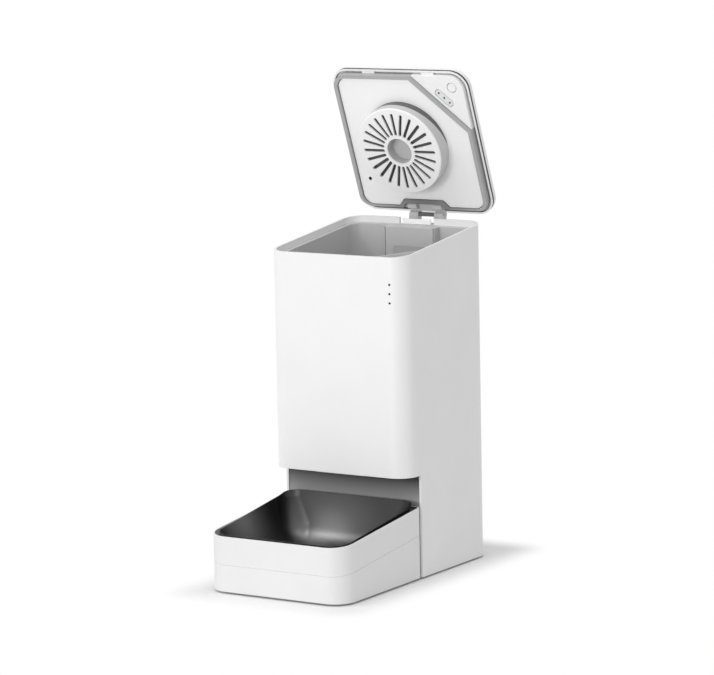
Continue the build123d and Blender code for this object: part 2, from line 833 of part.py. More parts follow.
with BuildPart() as portion_cover:
    with BuildSketch(Plane.XY.offset(funnel_bottom - cover_t)):
        with Locations((0, mid_y)):
            Circle(chamber_r - fit)
            Circle(hub_r + run, mode=Mode.SUBTRACT)
        with Locations((0, mid_y + 6)):
            Rectangle(
                2 * chamber_r, chamber_r, align=(Align.CENTER, Align.MIN), mode=Mode.SUBTRACT
            )
    extrude(amount=cover_t)
finish(portion_cover.part, "portion_cover")

with BuildPart() as level_brush:
    with BuildSketch(Plane.XY.offset(funnel_bottom)):
        with Locations((-26, mid_y - 2), (26, mid_y - 2)):
            Rectangle(26, 4)
    extrude(amount=5)
finish(level_brush.part, "level_brush")

with BuildPart() as rotor_shaft:
    with BuildSketch(Plane.XY.offset(plate_z + 0.5)):
        with Locations((0, mid_y)):
            Circle(shaft_r)
    extrude(amount=stirrer_z + 8 - plate_z - 0.5)
finish(rotor_shaft.part, "rotor_shaft")

with BuildPart() as dispense_rotor:
    with BuildSketch(Plane.XY.offset(rotor_bottom)):
        with Locations((0, mid_y)):
            Circle(hub_r)
            with PolarLocations((hub_r + chamber_r - run) / 2, vane_count, start_angle=30):
                Rectangle(chamber_r - run - hub_r + 3, vane_t)
    extrude(amount=rotor_top - rotor_bottom)
    with BuildSketch(Plane.XY.offset(rotor_bottom)):
        with Locations((0, mid_y)):
            Circle(hub_r)
    extrude(amount=funnel_bottom + 1 - rotor_bottom)
    with BuildSketch(Plane.XY.offset(rotor_bottom)):
        with Locations((0, mid_y)):
            Circle(shaft_r + sliver)
    extrude(amount=funnel_bottom + 1 - rotor_bottom, mode=Mode.SUBTRACT)
    with BuildSketch(Plane.XY.offset(rotor_bottom)):
        with Locations((0, mid_y)):
            Circle(chamber_r + 4)
            Circle(chamber_r - run, mode=Mode.SUBTRACT)
    extrude(amount=rotor_top, mode=Mode.SUBTRACT)
finish(dispense_rotor.part, "dispense_rotor")

with BuildPart() as stirrer:
    with Locations((0, mid_y, funnel_bottom + 1)):
        Cylinder(hub_r - 1.5, 10, align=(Align.CENTER, Align.CENTER, Align.MIN))
    fillet(edges().group_by(Axis.Z)[-1], 3)
    with Locations((0, mid_y, funnel_bottom + 8)):
        with PolarLocations(hub_r - 4, 3, start_angle=90):
            Cylinder(1.8, 30, rotation=(0, 90, 0), align=(Align.CENTER, Align.CENTER, Align.MIN))
    with BuildSketch(Plane.XY.offset(funnel_bottom + 1)):
        with Locations((0, mid_y)):
            Circle(shaft_r + sliver)
    extrude(amount=stirrer_z + 8 - funnel_bottom - 1, mode=Mode.SUBTRACT)
finish(stirrer.part, "stirrer")


def gear_outline(teeth, phase):
    """Involute gear of the shared module, with a tooth centred on a phase angle in degrees."""
    pitch_r = gear_module * teeth / 2
    pressure = math.radians(20)
    base_r = pitch_r * math.cos(pressure)
    tip_r = pitch_r + 0.9 * gear_module
    root_r = pitch_r - 1.2 * gear_module
    play = 0.16 * gear_module
    half_tooth = (math.pi * gear_module / 2 - play) / 2 / pitch_r
    lock = math.tan(pressure) - pressure
    flank_start = max(base_r, root_r + 0.05)
    points = []
    for tooth in range(teeth):
        centre = math.radians(phase) + 2 * math.pi * tooth / teeth
        rising = []
        for step in range(5):
            r = flank_start + (tip_r - flank_start) * step / 4
            turn = math.acos(base_r / r)
            spread = half_tooth + lock - (math.tan(turn) - turn)
            rising.append((r, spread))
        profile = [(root_r, rising[0][1])] + rising
        for r, spread in profile:
            points.append((r * math.cos(centre - spread), r * math.sin(centre - spread)))
        for r, spread in reversed(profile):
            points.append((r * math.cos(centre + spread), r * math.sin(centre + spread)))
    Polygon(*points, align=None)


drive_idler = gear_module * (drive_teeth + small_teeth) / 2
idler_pinion = gear_module * (idler_teeth + pinion_teeth) / 2
idler_x = drive_idler
motor_y = mid_y + idler_pinion

with BuildPart() as drive_gear:
    with BuildSketch(Plane(origin=(0, mid_y, gear_high))):
        gear_outline(drive_teeth, 0)
        Circle(shaft_r + sliver, mode=Mode.SUBTRACT)
    extrude(amount=gear_t)
finish(drive_gear.part, "drive_gear")

axle_r = 2.0
with BuildPart() as idler_gear:
    with BuildSketch(Plane(origin=(idler_x, mid_y, gear_low))):
        gear_outline(idler_teeth, 90)
    extrude(amount=gear_t)
    with BuildSketch(Plane(origin=(idler_x, mid_y, gear_low + gear_t))):
        gear_outline(small_teeth, 180 + 180 / small_teeth)
    extrude(amount=gear_high + gear_t - gear_low - gear_t)
    with BuildSketch(Plane(origin=(idler_x, mid_y, gear_low))):
        Circle(axle_r + 0.05)
    extrude(amount=gear_high + gear_t - gear_low, mode=Mode.SUBTRACT)
finish(idler_gear.part, "idler_gear")

with BuildPart() as motor_pinion:
    with BuildSketch(Plane(origin=(idler_x, motor_y, gear_low))):
        gear_outline(pinion_teeth, 270 + 180 / pinion_teeth)
    extrude(amount=gear_t)
    with BuildSketch(Plane(origin=(idler_x, motor_y, plate_z - 1))):
        Circle(1.6)
    extrude(amount=gear_low + gear_t + 1 - plate_z + 1)
finish(motor_pinion.part, "motor_pinion")

with BuildPart() as gear_motor:
    with BuildSketch(Plane(origin=(idler_x, motor_y, plate_z))):
        Circle(motor_r)
    extrude(amount=-motor_h)
    fillet(edges().group_by(Axis.Z)[0], 1.5)
    with BuildSketch(Plane(origin=(idler_x, motor_y, plate_z - motor_h))):
        Circle(5)
    extrude(amount=-2.5)
    with BuildSketch(Plane(origin=(idler_x, motor_y, plate_z))):
        Circle(1.6 + 0.05)
    extrude(amount=-1.2, mode=Mode.SUBTRACT)
finish(gear_motor.part, "gear_motor")

with BuildPart() as gear_plate:
    with BuildSketch(Plane.XY.offset(plate_z)):
        with Locations((0, mid_y + 8)):
            RectangleRounded(plate_w, plate_d, 5)
        with Locations((0, mid_y)):
            Circle(shaft_r + 0.05, mode=Mode.SUBTRACT)
        with Locations((idler_x, motor_y)):
            Circle(1.6 + 0.2, mode=Mode.SUBTRACT)
    extrude(amount=plate_th)
    # pillars up to the rotor housing, and the idler's stud
    with BuildSketch(Plane.XY.offset(plate_z + plate_th)):
        with Locations((-44, mid_y - 8), (-30, mid_y + 34), (37, mid_y - 29)):
            Circle(3.2)
        with Locations((idler_x, mid_y)):
            Circle(axle_r)
    extrude(amount=chamber_floor - floor_t - plate_z - plate_th)
finish(gear_plate.part, "gear_plate")

# ---------------------------------------------------------------------------
# Food chute and its sensors
# ---------------------------------------------------------------------------

chute_t = 2.0
outlet_back = outlet_front + outlet_d
chute_top = chamber_floor - floor_t
chute_in = outlet_w / 2
chute_knee = floor_top + 13.0


def chute_face(grow):
    """Side view of the chute, grown along Y by its wall."""
    Polygon(
        (outlet_front - grow, floor_top),
        (outlet_back + grow, floor_top),
        (window_back + grow, chute_top),
        (window_front - grow, chute_top),
        (outlet_front - grow, chute_knee),
        align=None,
    )


with BuildPart() as food_chute:
    with BuildSketch(Plane.YZ.offset(-chute_in - chute_t)):
        chute_face(chute_t)
    extrude(amount=2 * chute_in + 2 * chute_t)
    with BuildSketch(Plane.YZ.offset(-chute_in)):
        chute_face(0)
    extrude(amount=2 * chute_in, mode=Mode.SUBTRACT)
    with BuildSketch(Plane.YZ.offset(-chute_in - chute_t)):
        with Locations((outlet_front + 9, floor_top + 7)):
            Circle(2.6)
    extrude(amount=2 * chute_in + 2 * chute_t, mode=Mode.SUBTRACT)
finish(food_chute.part, "food_chute")

with BuildPart() as drop_sensors:
    for side in (-1, 1):
        with BuildSketch(Plane.YZ.offset(side * (chute_in + 0.4))):
            with Locations((outlet_front + 9, floor_top + 7)):
                Circle(2.4)
        extrude(amount=side * chute_t)
        with BuildSketch(Plane.YZ.offset(side * (chute_in + chute_t))):
            with Locations((outlet_front + 9, floor_top + 7)):
                Rectangle(12, 12)
        extrude(amount=side * 3.0)
finish(drop_sensors.part, "drop_sensors")

collar_w = 2.4
with BuildPart() as outlet_collar:
    with BuildSketch(Plane.XY.offset(overhang_h)):
        with Locations((0, outlet_mid)):
            RectangleRounded(outlet_w + 2 * collar_w - 0.6, outlet_d + 2 * collar_w - 0.6, 3.5)
            RectangleRounded(outlet_w - 2.4, outlet_d - 2.4, 2, mode=Mode.SUBTRACT)
    extrude(amount=-1.0)
    with BuildSketch(Plane.XY.offset(overhang_h)):
        with Locations((0, outlet_mid)):
            RectangleRounded(outlet_w - 2 * fit, outlet_d - 2 * fit, 2.8)
            RectangleRounded(outlet_w - 2.4, outlet_d - 2.4, 2, mode=Mode.SUBTRACT)
    extrude(amount=wall)
finish(outlet_collar.part, "outlet_collar")

# ---------------------------------------------------------------------------
# Tag reader and lights
# ---------------------------------------------------------------------------

inner_front = front_y + wall
coil_w = body_w - 45.0
coil_h = 62.0
coil_z = overhang_h + 58.0
coil_band = 4.0
with BuildPart() as reader_coil:
    with BuildSketch(Plane.XZ.offset(-inner_front - 0.1)):
        with Locations((0, coil_z)):
            RectangleRounded(coil_w, coil_h, 10)
            RectangleRounded(
                coil_w - 2 * coil_band, coil_h - 2 * coil_band, 10 - coil_band, mode=Mode.SUBTRACT
            )
    extrude(amount=-2.2)
finish(reader_coil.part, "reader_coil")

with BuildPart() as light_pipes:
    with BuildSketch(Plane.XZ.offset(-front_y)):
        with Locations((led_x, led_z)):
            with GridLocations(0, led_pitch, 1, 3):
                Circle(pipe_r)
    extrude(amount=-pipe_l)
finish(light_pipes.part, "light_pipes")

with BuildPart() as light_board:
    with BuildSketch(Plane.XZ.offset(-front_y - pipe_l)):
        with Locations((led_x, led_z)):
            Rectangle(12, light_board_h)
    extrude(amount=-board_t)
finish(light_board.part, "light_board")

# ---------------------------------------------------------------------------
# Deck in the dry corner, under the lid's three-cornered cover
# ---------------------------------------------------------------------------

button_u = half_w - 17.5
button_v = lid_l - 16.9
lens_u = half_w - 29.3
lens_v = lid_l - 29.0
lens_pitch = 7.65
lens_r = 1.2
button_travel = 1.0
cover_w = 3.6  # corner cover over the lid's edge, into the hopper
button_foot = cover_w + 0.2
deck_t = 2.5
deck_top = flange_plane.offset(-seat_t)
deck_rise = (ledge_depth + lid_gap) * math.cos(tilt) + hopper_t + seat_t
switch_gap = 0.15
diag = math.sqrt(0.5)

lens_points = []
for step in (-1, 0, 1):
    lens_points.append((lens_u + step * lens_pitch * diag, lens_v - step * lens_pitch * diag))


def under_lid(u, v):
    """Point of the deck that lies under a point of the shut lid."""
    return (u, (rear_y - v * math.cos(tilt) - front_y) / math.cos(tilt))


with BuildPart() as corner_deck:
    with BuildSketch(Plane.XY.offset(front_rim_h - 40)):
        upper_outline(wall + fit)
        Polygon(*plan_corner(dry_cut + 2 * fit), align=None, mode=Mode.INTERSECT)
    extrude(amount=80)
    keep_below(deck_top)
    keep_above(deck_top.offset(-deck_t))
finish(corner_deck.part, "corner_deck")

with BuildPart() as deck_lights:
    with BuildSketch(deck_top):
        for u, v in lens_points:
            with Locations(under_lid(u, v)):
                Circle(2.0)
    extrude(amount=1.0)
    with BuildSketch(deck_top.offset(1.0)):
        for u, v in lens_points:
            with Locations(under_lid(u, v)):
                Circle(1.5)
    extrude(amount=2.4)
    fillet(edges().group_by(Axis(deck_top.origin, deck_top.z_dir))[-1], 0.9)
finish(deck_lights.part, "deck_lights")

with BuildPart() as feed_switch:
    with BuildSketch(deck_top):
        with Locations(under_lid(button_u, button_v)):
            RectangleRounded(10, 10, 1.0)
    extrude(amount=3.5)
    with BuildSketch(deck_top):
        with Locations(under_lid(button_u, button_v)):
            Circle(3.2)
    extrude(amount=deck_rise - button_foot - button_travel - switch_gap)
    fillet(edges().group_by(Axis(deck_top.origin, deck_top.z_dir))[-1], 0.5)
finish(feed_switch.part, "feed_switch")

# ---------------------------------------------------------------------------
# Lid
# ---------------------------------------------------------------------------

button_r = 5.0
button_gap = 0.35
cover_gap = 0.6  # outline round the button and the lens holder
screw_u = -half_w + 21.5
screw_v = 39.0
lid_screw_r = 1.1
lid_head_r = 1.9
head_sink = 5.6
neck_gap = 0.3
under_box = [(box_u - 26, box_v - 20), (box_u + 26, box_v - 20), (box_u, box_v + 30)]
lid_screw_points = [(screw_u, screw_v)] + under_box


def lid_outline(inset, mode=Mode.ADD):
    with Locations((0, lid_l / 2)):
        RectangleRounded(body_w - 2 * inset, lid_l - 2 * inset, body_r - inset, mode=mode)


with BuildPart() as lid_shell:
    with BuildSketch(lid_plane):
        lid_outline(0)
    extrude(amount=-lid_t)
    fillet(faces().sort_by(into_hopper)[0].edges(), lid_edge_r)
    with BuildSketch(lid_plane):
        lid_outline(lid_wall)
    extrude(amount=-(lid_t - lid_wall), mode=Mode.SUBTRACT)
    with BuildSketch(lid_plane.offset(-lid_seam_in)):
        lid_outline(-1)
        lid_outline(lid_seam_d, Mode.SUBTRACT)
    extrude(amount=-lid_seam_w, mode=Mode.SUBTRACT)
    with BuildSketch(lid_plane.offset(-lid_t + lid_wall)):
        with Locations(*lid_screw_points):
            Circle(3.2)
    extrude(amount=lid_t - lid_wall - flange_w - panel_t)
    with BuildSketch(lid_plane.offset(-lid_t + lid_wall - 1.0)):
        with Locations(*lid_screw_points):
            Circle(lid_screw_r + sliver)
    extrude(amount=lid_t, mode=Mode.SUBTRACT)
    with BuildSketch(lid_plane.offset(-lid_t)):
        with Locations((button_u, button_v)):
            Circle(button_r + button_gap)
        with Locations(*lens_points):
            Circle(lens_r + sliver)
    extrude(amount=lid_wall, mode=Mode.SUBTRACT)
    # the hinge arms leave through the rear edge
    with BuildSketch(lid_plane.offset(1)):
        with GridLocations(arm_in + arm_out, 0, 2, 1):
            Rectangle(arm_out - arm_in + 2 * neck_gap, 2 * lid_wall + 1)
    extrude(amount=-(flange_w + neck_gap + 1), mode=Mode.SUBTRACT)
finish(lid_shell.part, "lid_shell")

box_ring_h = 2.4  # bayonet ring that the desiccant box turns on
box_lug_t = 1.6
box_lug_r = box_r - box_wall - 4.5

with BuildPart() as lid_panel:
    with BuildSketch(lid_plane.offset(-flange_w)):
        lid_outline(lid_wall + fit)
    extrude(amount=-panel_t)
    with BuildSketch(lid_plane.offset(-flange_w)):
        add(plateau_line)
    extrude(amount=plateau_h + flange_w)
    with BuildSketch(lid_plane.offset(-flange_w - panel_t)):
        add(pocket_line)
        with Locations(*lid_screw_points):
            Circle(5.0, mode=Mode.SUBTRACT)
    extrude(amount=plateau_h + flange_w, mode=Mode.SUBTRACT)
    # ring and lugs that hold the desiccant box
    with BuildSketch(lid_plane.offset(plateau_h)):
        with Locations((box_u, box_v)):
            Circle(box_lug_r - 1.5)
            Circle(box_lug_r - 4.5, mode=Mode.SUBTRACT)
    extrude(amount=box_ring_h + box_lug_t)
    with BuildSketch(lid_plane.offset(plateau_h + box_ring_h)):
        with Locations((box_u, box_v)):
            with PolarLocations(box_lug_r, 3, start_angle=90):
                Rectangle(6, 11)
    extrude(amount=box_lug_t)
    with BuildSketch(lid_plane.offset(-flange_w - panel_t)):
        with Locations(*lid_screw_points):
            Circle(lid_screw_r + 0.1)
        with Locations((button_u, button_v)):
            Circle(button_r + button_gap)
        with Locations(*lens_points):
            Circle(lens_r + sliver)
    extrude(amount=plateau_h + flange_w + panel_t, mode=Mode.SUBTRACT)
    with BuildSketch(lid_plane.offset(plateau_h)):
        with Locations(*lid_screw_points):
            Circle(lid_head_r + 0.1)
    extrude(amount=-head_sink, mode=Mode.SUBTRACT)
finish(lid_panel.part, "lid_panel")

with BuildPart() as lid_screws:
    with BuildSketch(lid_plane.offset(plateau_h - head_sink)):
        with Locations(*lid_screw_points):
            Circle(lid_head_r)
    extrude(amount=1.6)
    with BuildSketch(lid_plane.offset(plateau_h - head_sink)):
        with Locations(*lid_screw_points):
            Circle(lid_screw_r)
    extrude(amount=-(lid_t - lid_wall + plateau_h - head_sink))
finish(lid_screws.part, "lid_screws")

# the axis in the lid's own frame, along the lid and into the hopper
axis_v = -hinge_back * math.cos(tilt) + shut_z * math.sin(tilt)
axis_w = hinge_back * math.sin(tilt) + shut_z * math.cos(tilt)
sweep_gap = 0.35
sweep_steps = 7


def rim_sweep_r(across):
    """Distance from the hinge axis that clears the rear rim at a place across the lid."""
    inner_r = body_r - wall
    along = max(0.0, abs(across) - half_w + body_r)
    back = body_r - math.sqrt(max(0.0, inner_r**2 - min(along, inner_r - 0.1) ** 2))
    return math.hypot(hinge_back + back, hinge_drop - back * math.tan(tilt)) + sweep_gap


# space that the rear rim passes through, seen from the lid, as it opens
with BuildPart() as rim_sweep:
    with BuildSketch(
        Plane(
            origin=lid_plane.from_local_coords((0, axis_v, axis_w)),
            x_dir=(1, 0, 0),
            z_dir=lid_plane.z_dir,
        )
    ):
        sweep_points = [(-half_w, 0), (half_w, 0)]
        for step in range(sweep_steps, -1, -1):
            across = half_w - body_r + (body_r - wall) * step / sweep_steps
            sweep_points.append((across, rim_sweep_r(across)))
        for step in range(sweep_steps + 1):
            across = half_w - body_r + (body_r - wall) * step / sweep_steps
            sweep_points.append((-across, rim_sweep_r(across)))
        Polygon(*sweep_points, align=None)
    revolve(axis=Axis(lid_plane.from_local_coords((0, axis_v, axis_w)), (1, 0, 0)))

seal_h = ledge_depth + lid_gap - 0.6
with BuildPart() as lid_seal:
    with BuildSketch(lid_plane.offset(-flange_w)):
        add(seal_line)
        add(seal_face(seal_w), mode=Mode.SUBTRACT)
    extrude(amount=seal_h + flange_w)
    add(rim_sweep.part, mode=Mode.SUBTRACT)
finish(lid_seal.part, "lid_seal")

cover_wall = 1.6
cover_lap = 0.7  # the cover starts this far inside the seal's cut corner
pill_l = 23.0
pill_w = 7.4
with BuildPart() as corner_cover:
    with BuildSketch(lid_plane.offset(-flange_w)):
        lid_outline(seal_inset)
        Polygon(*lid_corner(seal_cut + cover_lap), align=None, mode=Mode.INTERSECT)
    extrude(amount=cover_w + flange_w)
    # hollow under the cover, and its windows
    with BuildSketch(lid_plane.offset(-flange_w)):
        lid_outline(seal_inset + cover_wall)
        Polygon(
            *lid_corner(seal_cut + cover_lap + cover_wall * math.sqrt(2)), align=None, mode=Mode.INTERSECT
        )
    extrude(amount=cover_w + flange_w - cover_wall, mode=Mode.SUBTRACT)
    with BuildSketch(lid_plane.offset(-flange_w)):
        with Locations((button_u, button_v)):
            Circle(button_r + cover_gap)
        with Locations((lens_u, lens_v)):
            SlotOverall(pill_l + 2 * cover_gap, pill_w + 2 * cover_gap, rotation=-45)
    extrude(amount=cover_w + flange_w, mode=Mode.SUBTRACT)
finish(corner_cover.part, "corner_cover")

with BuildPart() as lens_holder:
    with BuildSketch(lid_plane.offset(-flange_w)):
        with Locations((lens_u, lens_v)):
            SlotOverall(pill_l, pill_w, rotation=-45)
        with Locations(*lens_points):
            Circle(lens_r + sliver, mode=Mode.SUBTRACT)
    extrude(amount=cover_w + flange_w - 0.2)
finish(lens_holder.part, "lens_holder")

with BuildPart() as lid_lenses:
    with BuildSketch(lid_plane.offset(-lid_t)):
        with Locations(*lens_points):
            Circle(lens_r)
    extrude(amount=lid_t + cover_w - 0.8)
finish(lid_lenses.part, "lid_lenses")

button_proud = 0.6
with BuildPart() as lid_button:
    with BuildSketch(lid_plane.offset(-lid_t - button_proud)):
        with Locations((button_u, button_v)):
            Circle(button_r)
    extrude(amount=lid_t + button_proud + button_foot)
    fillet(edges().group_by(into_hopper)[0], 0.5)
    fillet(edges().group_by(into_hopper)[-1], 0.5)
finish(lid_button.part, "lid_button")

tab_v = lid_l - (seal_inset + lid_wall) / 2 - 0.1
with BuildPart() as lid_tabs:
    with BuildSketch(lid_plane.offset(-flange_w)):
        with Locations((-35.0, tab_v), (37.0, tab_v)):
            Rectangle(15, seal_inset - lid_wall - 0.4)
    extrude(amount=flange_w + 0.9)
finish(lid_tabs.part, "lid_tabs")

# ---------------------------------------------------------------------------
# Desiccant box
# ---------------------------------------------------------------------------

face_w = plateau_h + box_h
box_slack = 0.3
box_floor_w = plateau_h + box_ring_h + box_lug_t + box_slack
box_floor_t = 1.2
box_tab_r = box_r - box_wall - 1.2

# cup of the box, with the tabs that turn under the ring's lugs
with BuildPart() as desiccant_base:
    with BuildSketch(lid_plane.offset(plateau_h + box_slack)):
        with Locations((box_u, box_v)):
            Circle(box_r)
            Circle(box_r - box_wall, mode=Mode.SUBTRACT)
    extrude(amount=box_h - box_slack - box_wall)
    with BuildSketch(lid_plane.offset(box_floor_w)):
        with Locations((box_u, box_v)):
            Circle(box_r - box_wall + 0.5)
    extrude(amount=box_floor_t)
    with BuildSketch(lid_plane.offset(plateau_h + box_slack)):
        with Locations((box_u, box_v)):
            with PolarLocations(box_tab_r, 3, start_angle=90):
                Rectangle(3.4, 9)
    extrude(amount=box_ring_h - 2 * box_slack)
finish(desiccant_base.part, "desiccant_base")

with BuildPart() as desiccant_cover:
    with BuildSketch(lid_plane.offset(face_w - box_wall)):
        with Locations((box_u, box_v)):
            Circle(box_r)
    extrude(amount=box_wall)
    chamfer(faces().sort_by(into_hopper)[-1].edges(), 0.8)
    with BuildSketch(lid_plane.offset(face_w - box_wall)):
        with Locations((box_u, box_v)):
            Circle(box_r - box_wall - fit)
            Circle(box_r - 2 * box_wall - fit, mode=Mode.SUBTRACT)
    extrude(amount=-2.0)
    # recessed middle cup
    with BuildSketch(lid_plane.offset(face_w - cup_depth - cup_t)):
        with Locations((box_u, box_v)):
            Circle(cup_r + cup_t)
    extrude(amount=cup_depth + cup_t)
    with BuildSketch(lid_plane.offset(face_w - cup_depth)):
        with Locations((box_u, box_v)):
            Circle(cup_r)
    extrude(amount=cup_depth, mode=Mode.SUBTRACT)
    with BuildSketch(lid_plane.offset(face_w)):
        with Locations((box_u, box_v)):
            with PolarLocations((slot_in_r + slot_out_r) / 2, slot_count):
                SlotOverall(slot_out_r - slot_in_r, slot_w)
    extrude(amount=-box_wall, mode=Mode.SUBTRACT)
finish(desiccant_cover.part, "desiccant_cover")

pack_top = face_w - box_wall - 2.0
with BuildPart() as desiccant_pack:
    with BuildSketch(lid_plane.offset(box_floor_w + box_floor_t)):
        with Locations((box_u, box_v)):
            Circle(box_r - 2 * box_wall - 1.0)
            Circle(cup_r + cup_t + 0.6, mode=Mode.SUBTRACT)
    extrude(amount=pack_top - box_floor_w - box_floor_t)
finish(desiccant_pack.part, "desiccant_pack")

# ---------------------------------------------------------------------------
# Hinge
# ---------------------------------------------------------------------------

roller_v = -1.2
roller_w = 3.8
roller_r = 2.3
boss_out = 2.4
block_front = wall + 0.1
block_back = 1.2
block_drop = 1.2
block_top = rear_rim_h - block_drop
arm_t = arm_out - arm_in
arm_head = 11.4  # how far the arms reach along the panel
arm_foot = lid_wall + fit
neck_w = block_drop - 0.1  # underside of the neck that passes over the block

with BuildPart() as hinge_base:
    # block that shows at the rim
    with BuildSketch(Plane.YZ.offset(-hinge_w / 2)):
        Polygon(
            (rear_y - block_front, rim_z(rear_y) - ledge_depth - 0.1),
            (rear_y - block_front, block_top),
            (rear_y - block_back, block_top),
            (rear_y - block_back, base_top),
            (rear_y, base_top),
            (rear_y, base_foot + fit),
            (rear_y - block_back, base_foot + fit),
            (rear_y - block_back, rim_z(rear_y) - ledge_depth - 0.1),
            align=None,
        )
    extrude(amount=hinge_w)
    # web out to the barrel, between the lid's arms
    with BuildSketch(Plane.YZ.offset(-arm_in + run)):
        Polygon(
            (rear_y, base_top),
            (axis_y, base_top),
            (axis_y + barrel_r - 0.4, axis_z - 2),
            (axis_y - 2, axis_z - barrel_r + 0.4),
            (rear_y + hinge_flange_t, hinge_flange_z + 4),
            (rear_y, hinge_flange_z + 4),
            align=None,
        )
        with Locations((axis_y, axis_z)):
            Circle(barrel_r)
    extrude(amount=2 * (arm_in - run))
    with BuildSketch(Plane.XZ.offset(-rear_y)):
        with Locations((0, hinge_screw_z)):
            RectangleRounded(hinge_w, hinge_flange_h, 3)
    extrude(amount=-hinge_flange_t)
    with BuildSketch(Plane.YZ.offset(-arm_in)):
        with Locations((axis_y, axis_z)):
            Circle(hinge_pin_r + 0.05)
    extrude(amount=2 * arm_in, mode=Mode.SUBTRACT)
    with BuildSketch(Plane.XZ.offset(-rear_y)):
        with Locations((0, hinge_screw_z)):
            with GridLocations(2 * hinge_screw_x, 0, 2, 1):
                Circle(screw_r + 0.1)
    extrude(amount=-hinge_flange_t, mode=Mode.SUBTRACT)
finish(hinge_base.part, "hinge_base")

with BuildPart() as hinge_arms:
    for side in (-1, 1):
        start = arm_in if side > 0 else -arm_out
        with BuildSketch(lid_side(start)):
            Polygon(
                (arm_head, -flange_w),
                (arm_head, 4.0),
                (arm_head - 1.6, 5.8),
                (6.6, 6.2),
                (5.4, 4.3),
                (4.0, 2.3),
                (3.3, neck_w),
                (roller_v + boss_out, neck_w),
                (roller_v + boss_out, roller_w),
                (roller_v + 0.8, roller_w + boss_out),
                (axis_v + 3.9, axis_w - 3.9),
                (axis_v, axis_w),
                (axis_v - 4.8, axis_w - 2.6),
                (-8.0, 1.6),
                (-3.0, -flange_w + 1.2),
                (0.0, -flange_w),
                align=None,
            )
            with Locations((roller_v, roller_w)):
                Circle(boss_out)
            with Locations((axis_v, axis_w)):
                Circle(barrel_r)
        extrude(amount=arm_t)
    # plate between the arms
    with BuildSketch(lid_plane.offset(-flange_w)):
        with Locations((0, (arm_foot + arm_head) / 2)):
            Rectangle(2 * arm_in + 1, arm_head - arm_foot)
    extrude(amount=flange_w + neck_w)
    with BuildSketch(lid_side(-arm_out)):
        with Locations((axis_v, axis_w)):
            Circle(hinge_pin_r + sliver)
        with Locations((roller_v, roller_w)):
            Circle(1.0 + sliver)
    extrude(amount=2 * arm_out, mode=Mode.SUBTRACT)
finish(hinge_arms.part, "hinge_arms")

with BuildPart() as hinge_pin:
    with BuildSketch(Plane.YZ.offset(-arm_out - 0.8)):
        with Locations((axis_y, axis_z)):
            Circle(hinge_pin_r)
    extrude(amount=2 * arm_out + 1.6)
finish(hinge_pin.part, "hinge_pin")

with BuildPart() as hinge_roller:
    with BuildSketch(lid_side(-arm_in + run)):
        with Locations((roller_v, roller_w)):
            Circle(roller_r)
    extrude(amount=2 * (arm_in - run))
    with BuildSketch(lid_side(-arm_out + 1)):
        with Locations((roller_v, roller_w)):
            Circle(1.0)
    extrude(amount=2 * arm_out - 2)
    for step in range(-3, 4):
        with BuildSketch(lid_side(step * 2.8 - 0.5)):
            with Locations((roller_v, roller_w)):
                Circle(roller_r + 1)
                Circle(roller_r - 0.4, mode=Mode.SUBTRACT)
        extrude(amount=1.0, mode=Mode.SUBTRACT)
finish(hinge_roller.part, "hinge_roller")

with BuildPart() as hinge_screws:
    with BuildSketch(Plane.XZ.offset(-rear_y - hinge_flange_t)):
        with Locations((0, hinge_screw_z)):
            with GridLocations(2 * hinge_screw_x, 0, 2, 1):
                Circle(screw_head_r)
    extrude(amount=-1.6)
    with BuildSketch(Plane.XZ.offset(-rear_y - hinge_flange_t)):
        with Locations((0, hinge_screw_z)):
            with GridLocations(2 * hinge_screw_x, 0, 2, 1):
                Circle(screw_r)
    extrude(amount=hinge_flange_t + wall + 1.5)
finish(hinge_screws.part, "hinge_screws")

# ---------------------------------------------------------------------------
# Bowl tray and bowl
# ---------------------------------------------------------------------------

slope = math.radians(tray_tilt)
tray_len = tray_back - tray_y
tray_rim = Plane(
    origin=(0, tray_y, tray_rim_h),
    x_dir=(1, 0, 0),
    z_dir=(0, -math.sin(slope), math.cos(slope)),
)
seam_plane = tray_rim.offset(-tray_band * math.cos(slope))
lip_plane = tray_rim.offset(-bowl_lip_t - 0.4)
tray_reach = 60.0


def tray_outline(inset):
    """Plan of the tray: round at the front, nearly square against the housing."""
    with Locations((0, tray_y + tray_len / 2)):
        Rectangle(body_w - 2 * inset, tray_len - 2 * inset)
    fillet(vertices().sort_by(Axis.Y)[:2], tray_r - inset)
    fillet(vertices().sort_by(Axis.Y)[-2:], 6.0)


with BuildPart() as bowl_tray:
    with BuildSketch():
        tray_outline(0)
    extrude(amount=tray_rim_h + tray_reach)
    keep_below(tray_rim)
    keep_above(seam_plane)
    fillet(faces().sort_by(Axis(tray_rim.origin, tray_rim.z_dir))[-1].edges(), 0.5)
    chamfer(faces().sort_by(Axis(tray_rim.origin, tray_rim.z_dir))[0].edges(), seam_bevel)
    with BuildSketch():
        tray_outline(tray_lip + bowl_lip_w)
    extrude(amount=tray_rim_h + tray_reach, mode=Mode.SUBTRACT)
    with BuildSketch(lip_plane):
        with Locations((0, tray_len / 2 / math.cos(slope))):
            Rectangle(body_w - 2 * tray_lip, tray_len / math.cos(slope) - 2 * tray_lip)
        fillet(vertices().sort_by(Axis.Y)[:2], tray_r - tray_lip)
        fillet(vertices().sort_by(Axis.Y)[-2:], 5.0)
    extrude(amount=5, mode=Mode.SUBTRACT)
finish(bowl_tray.part, "bowl_tray")

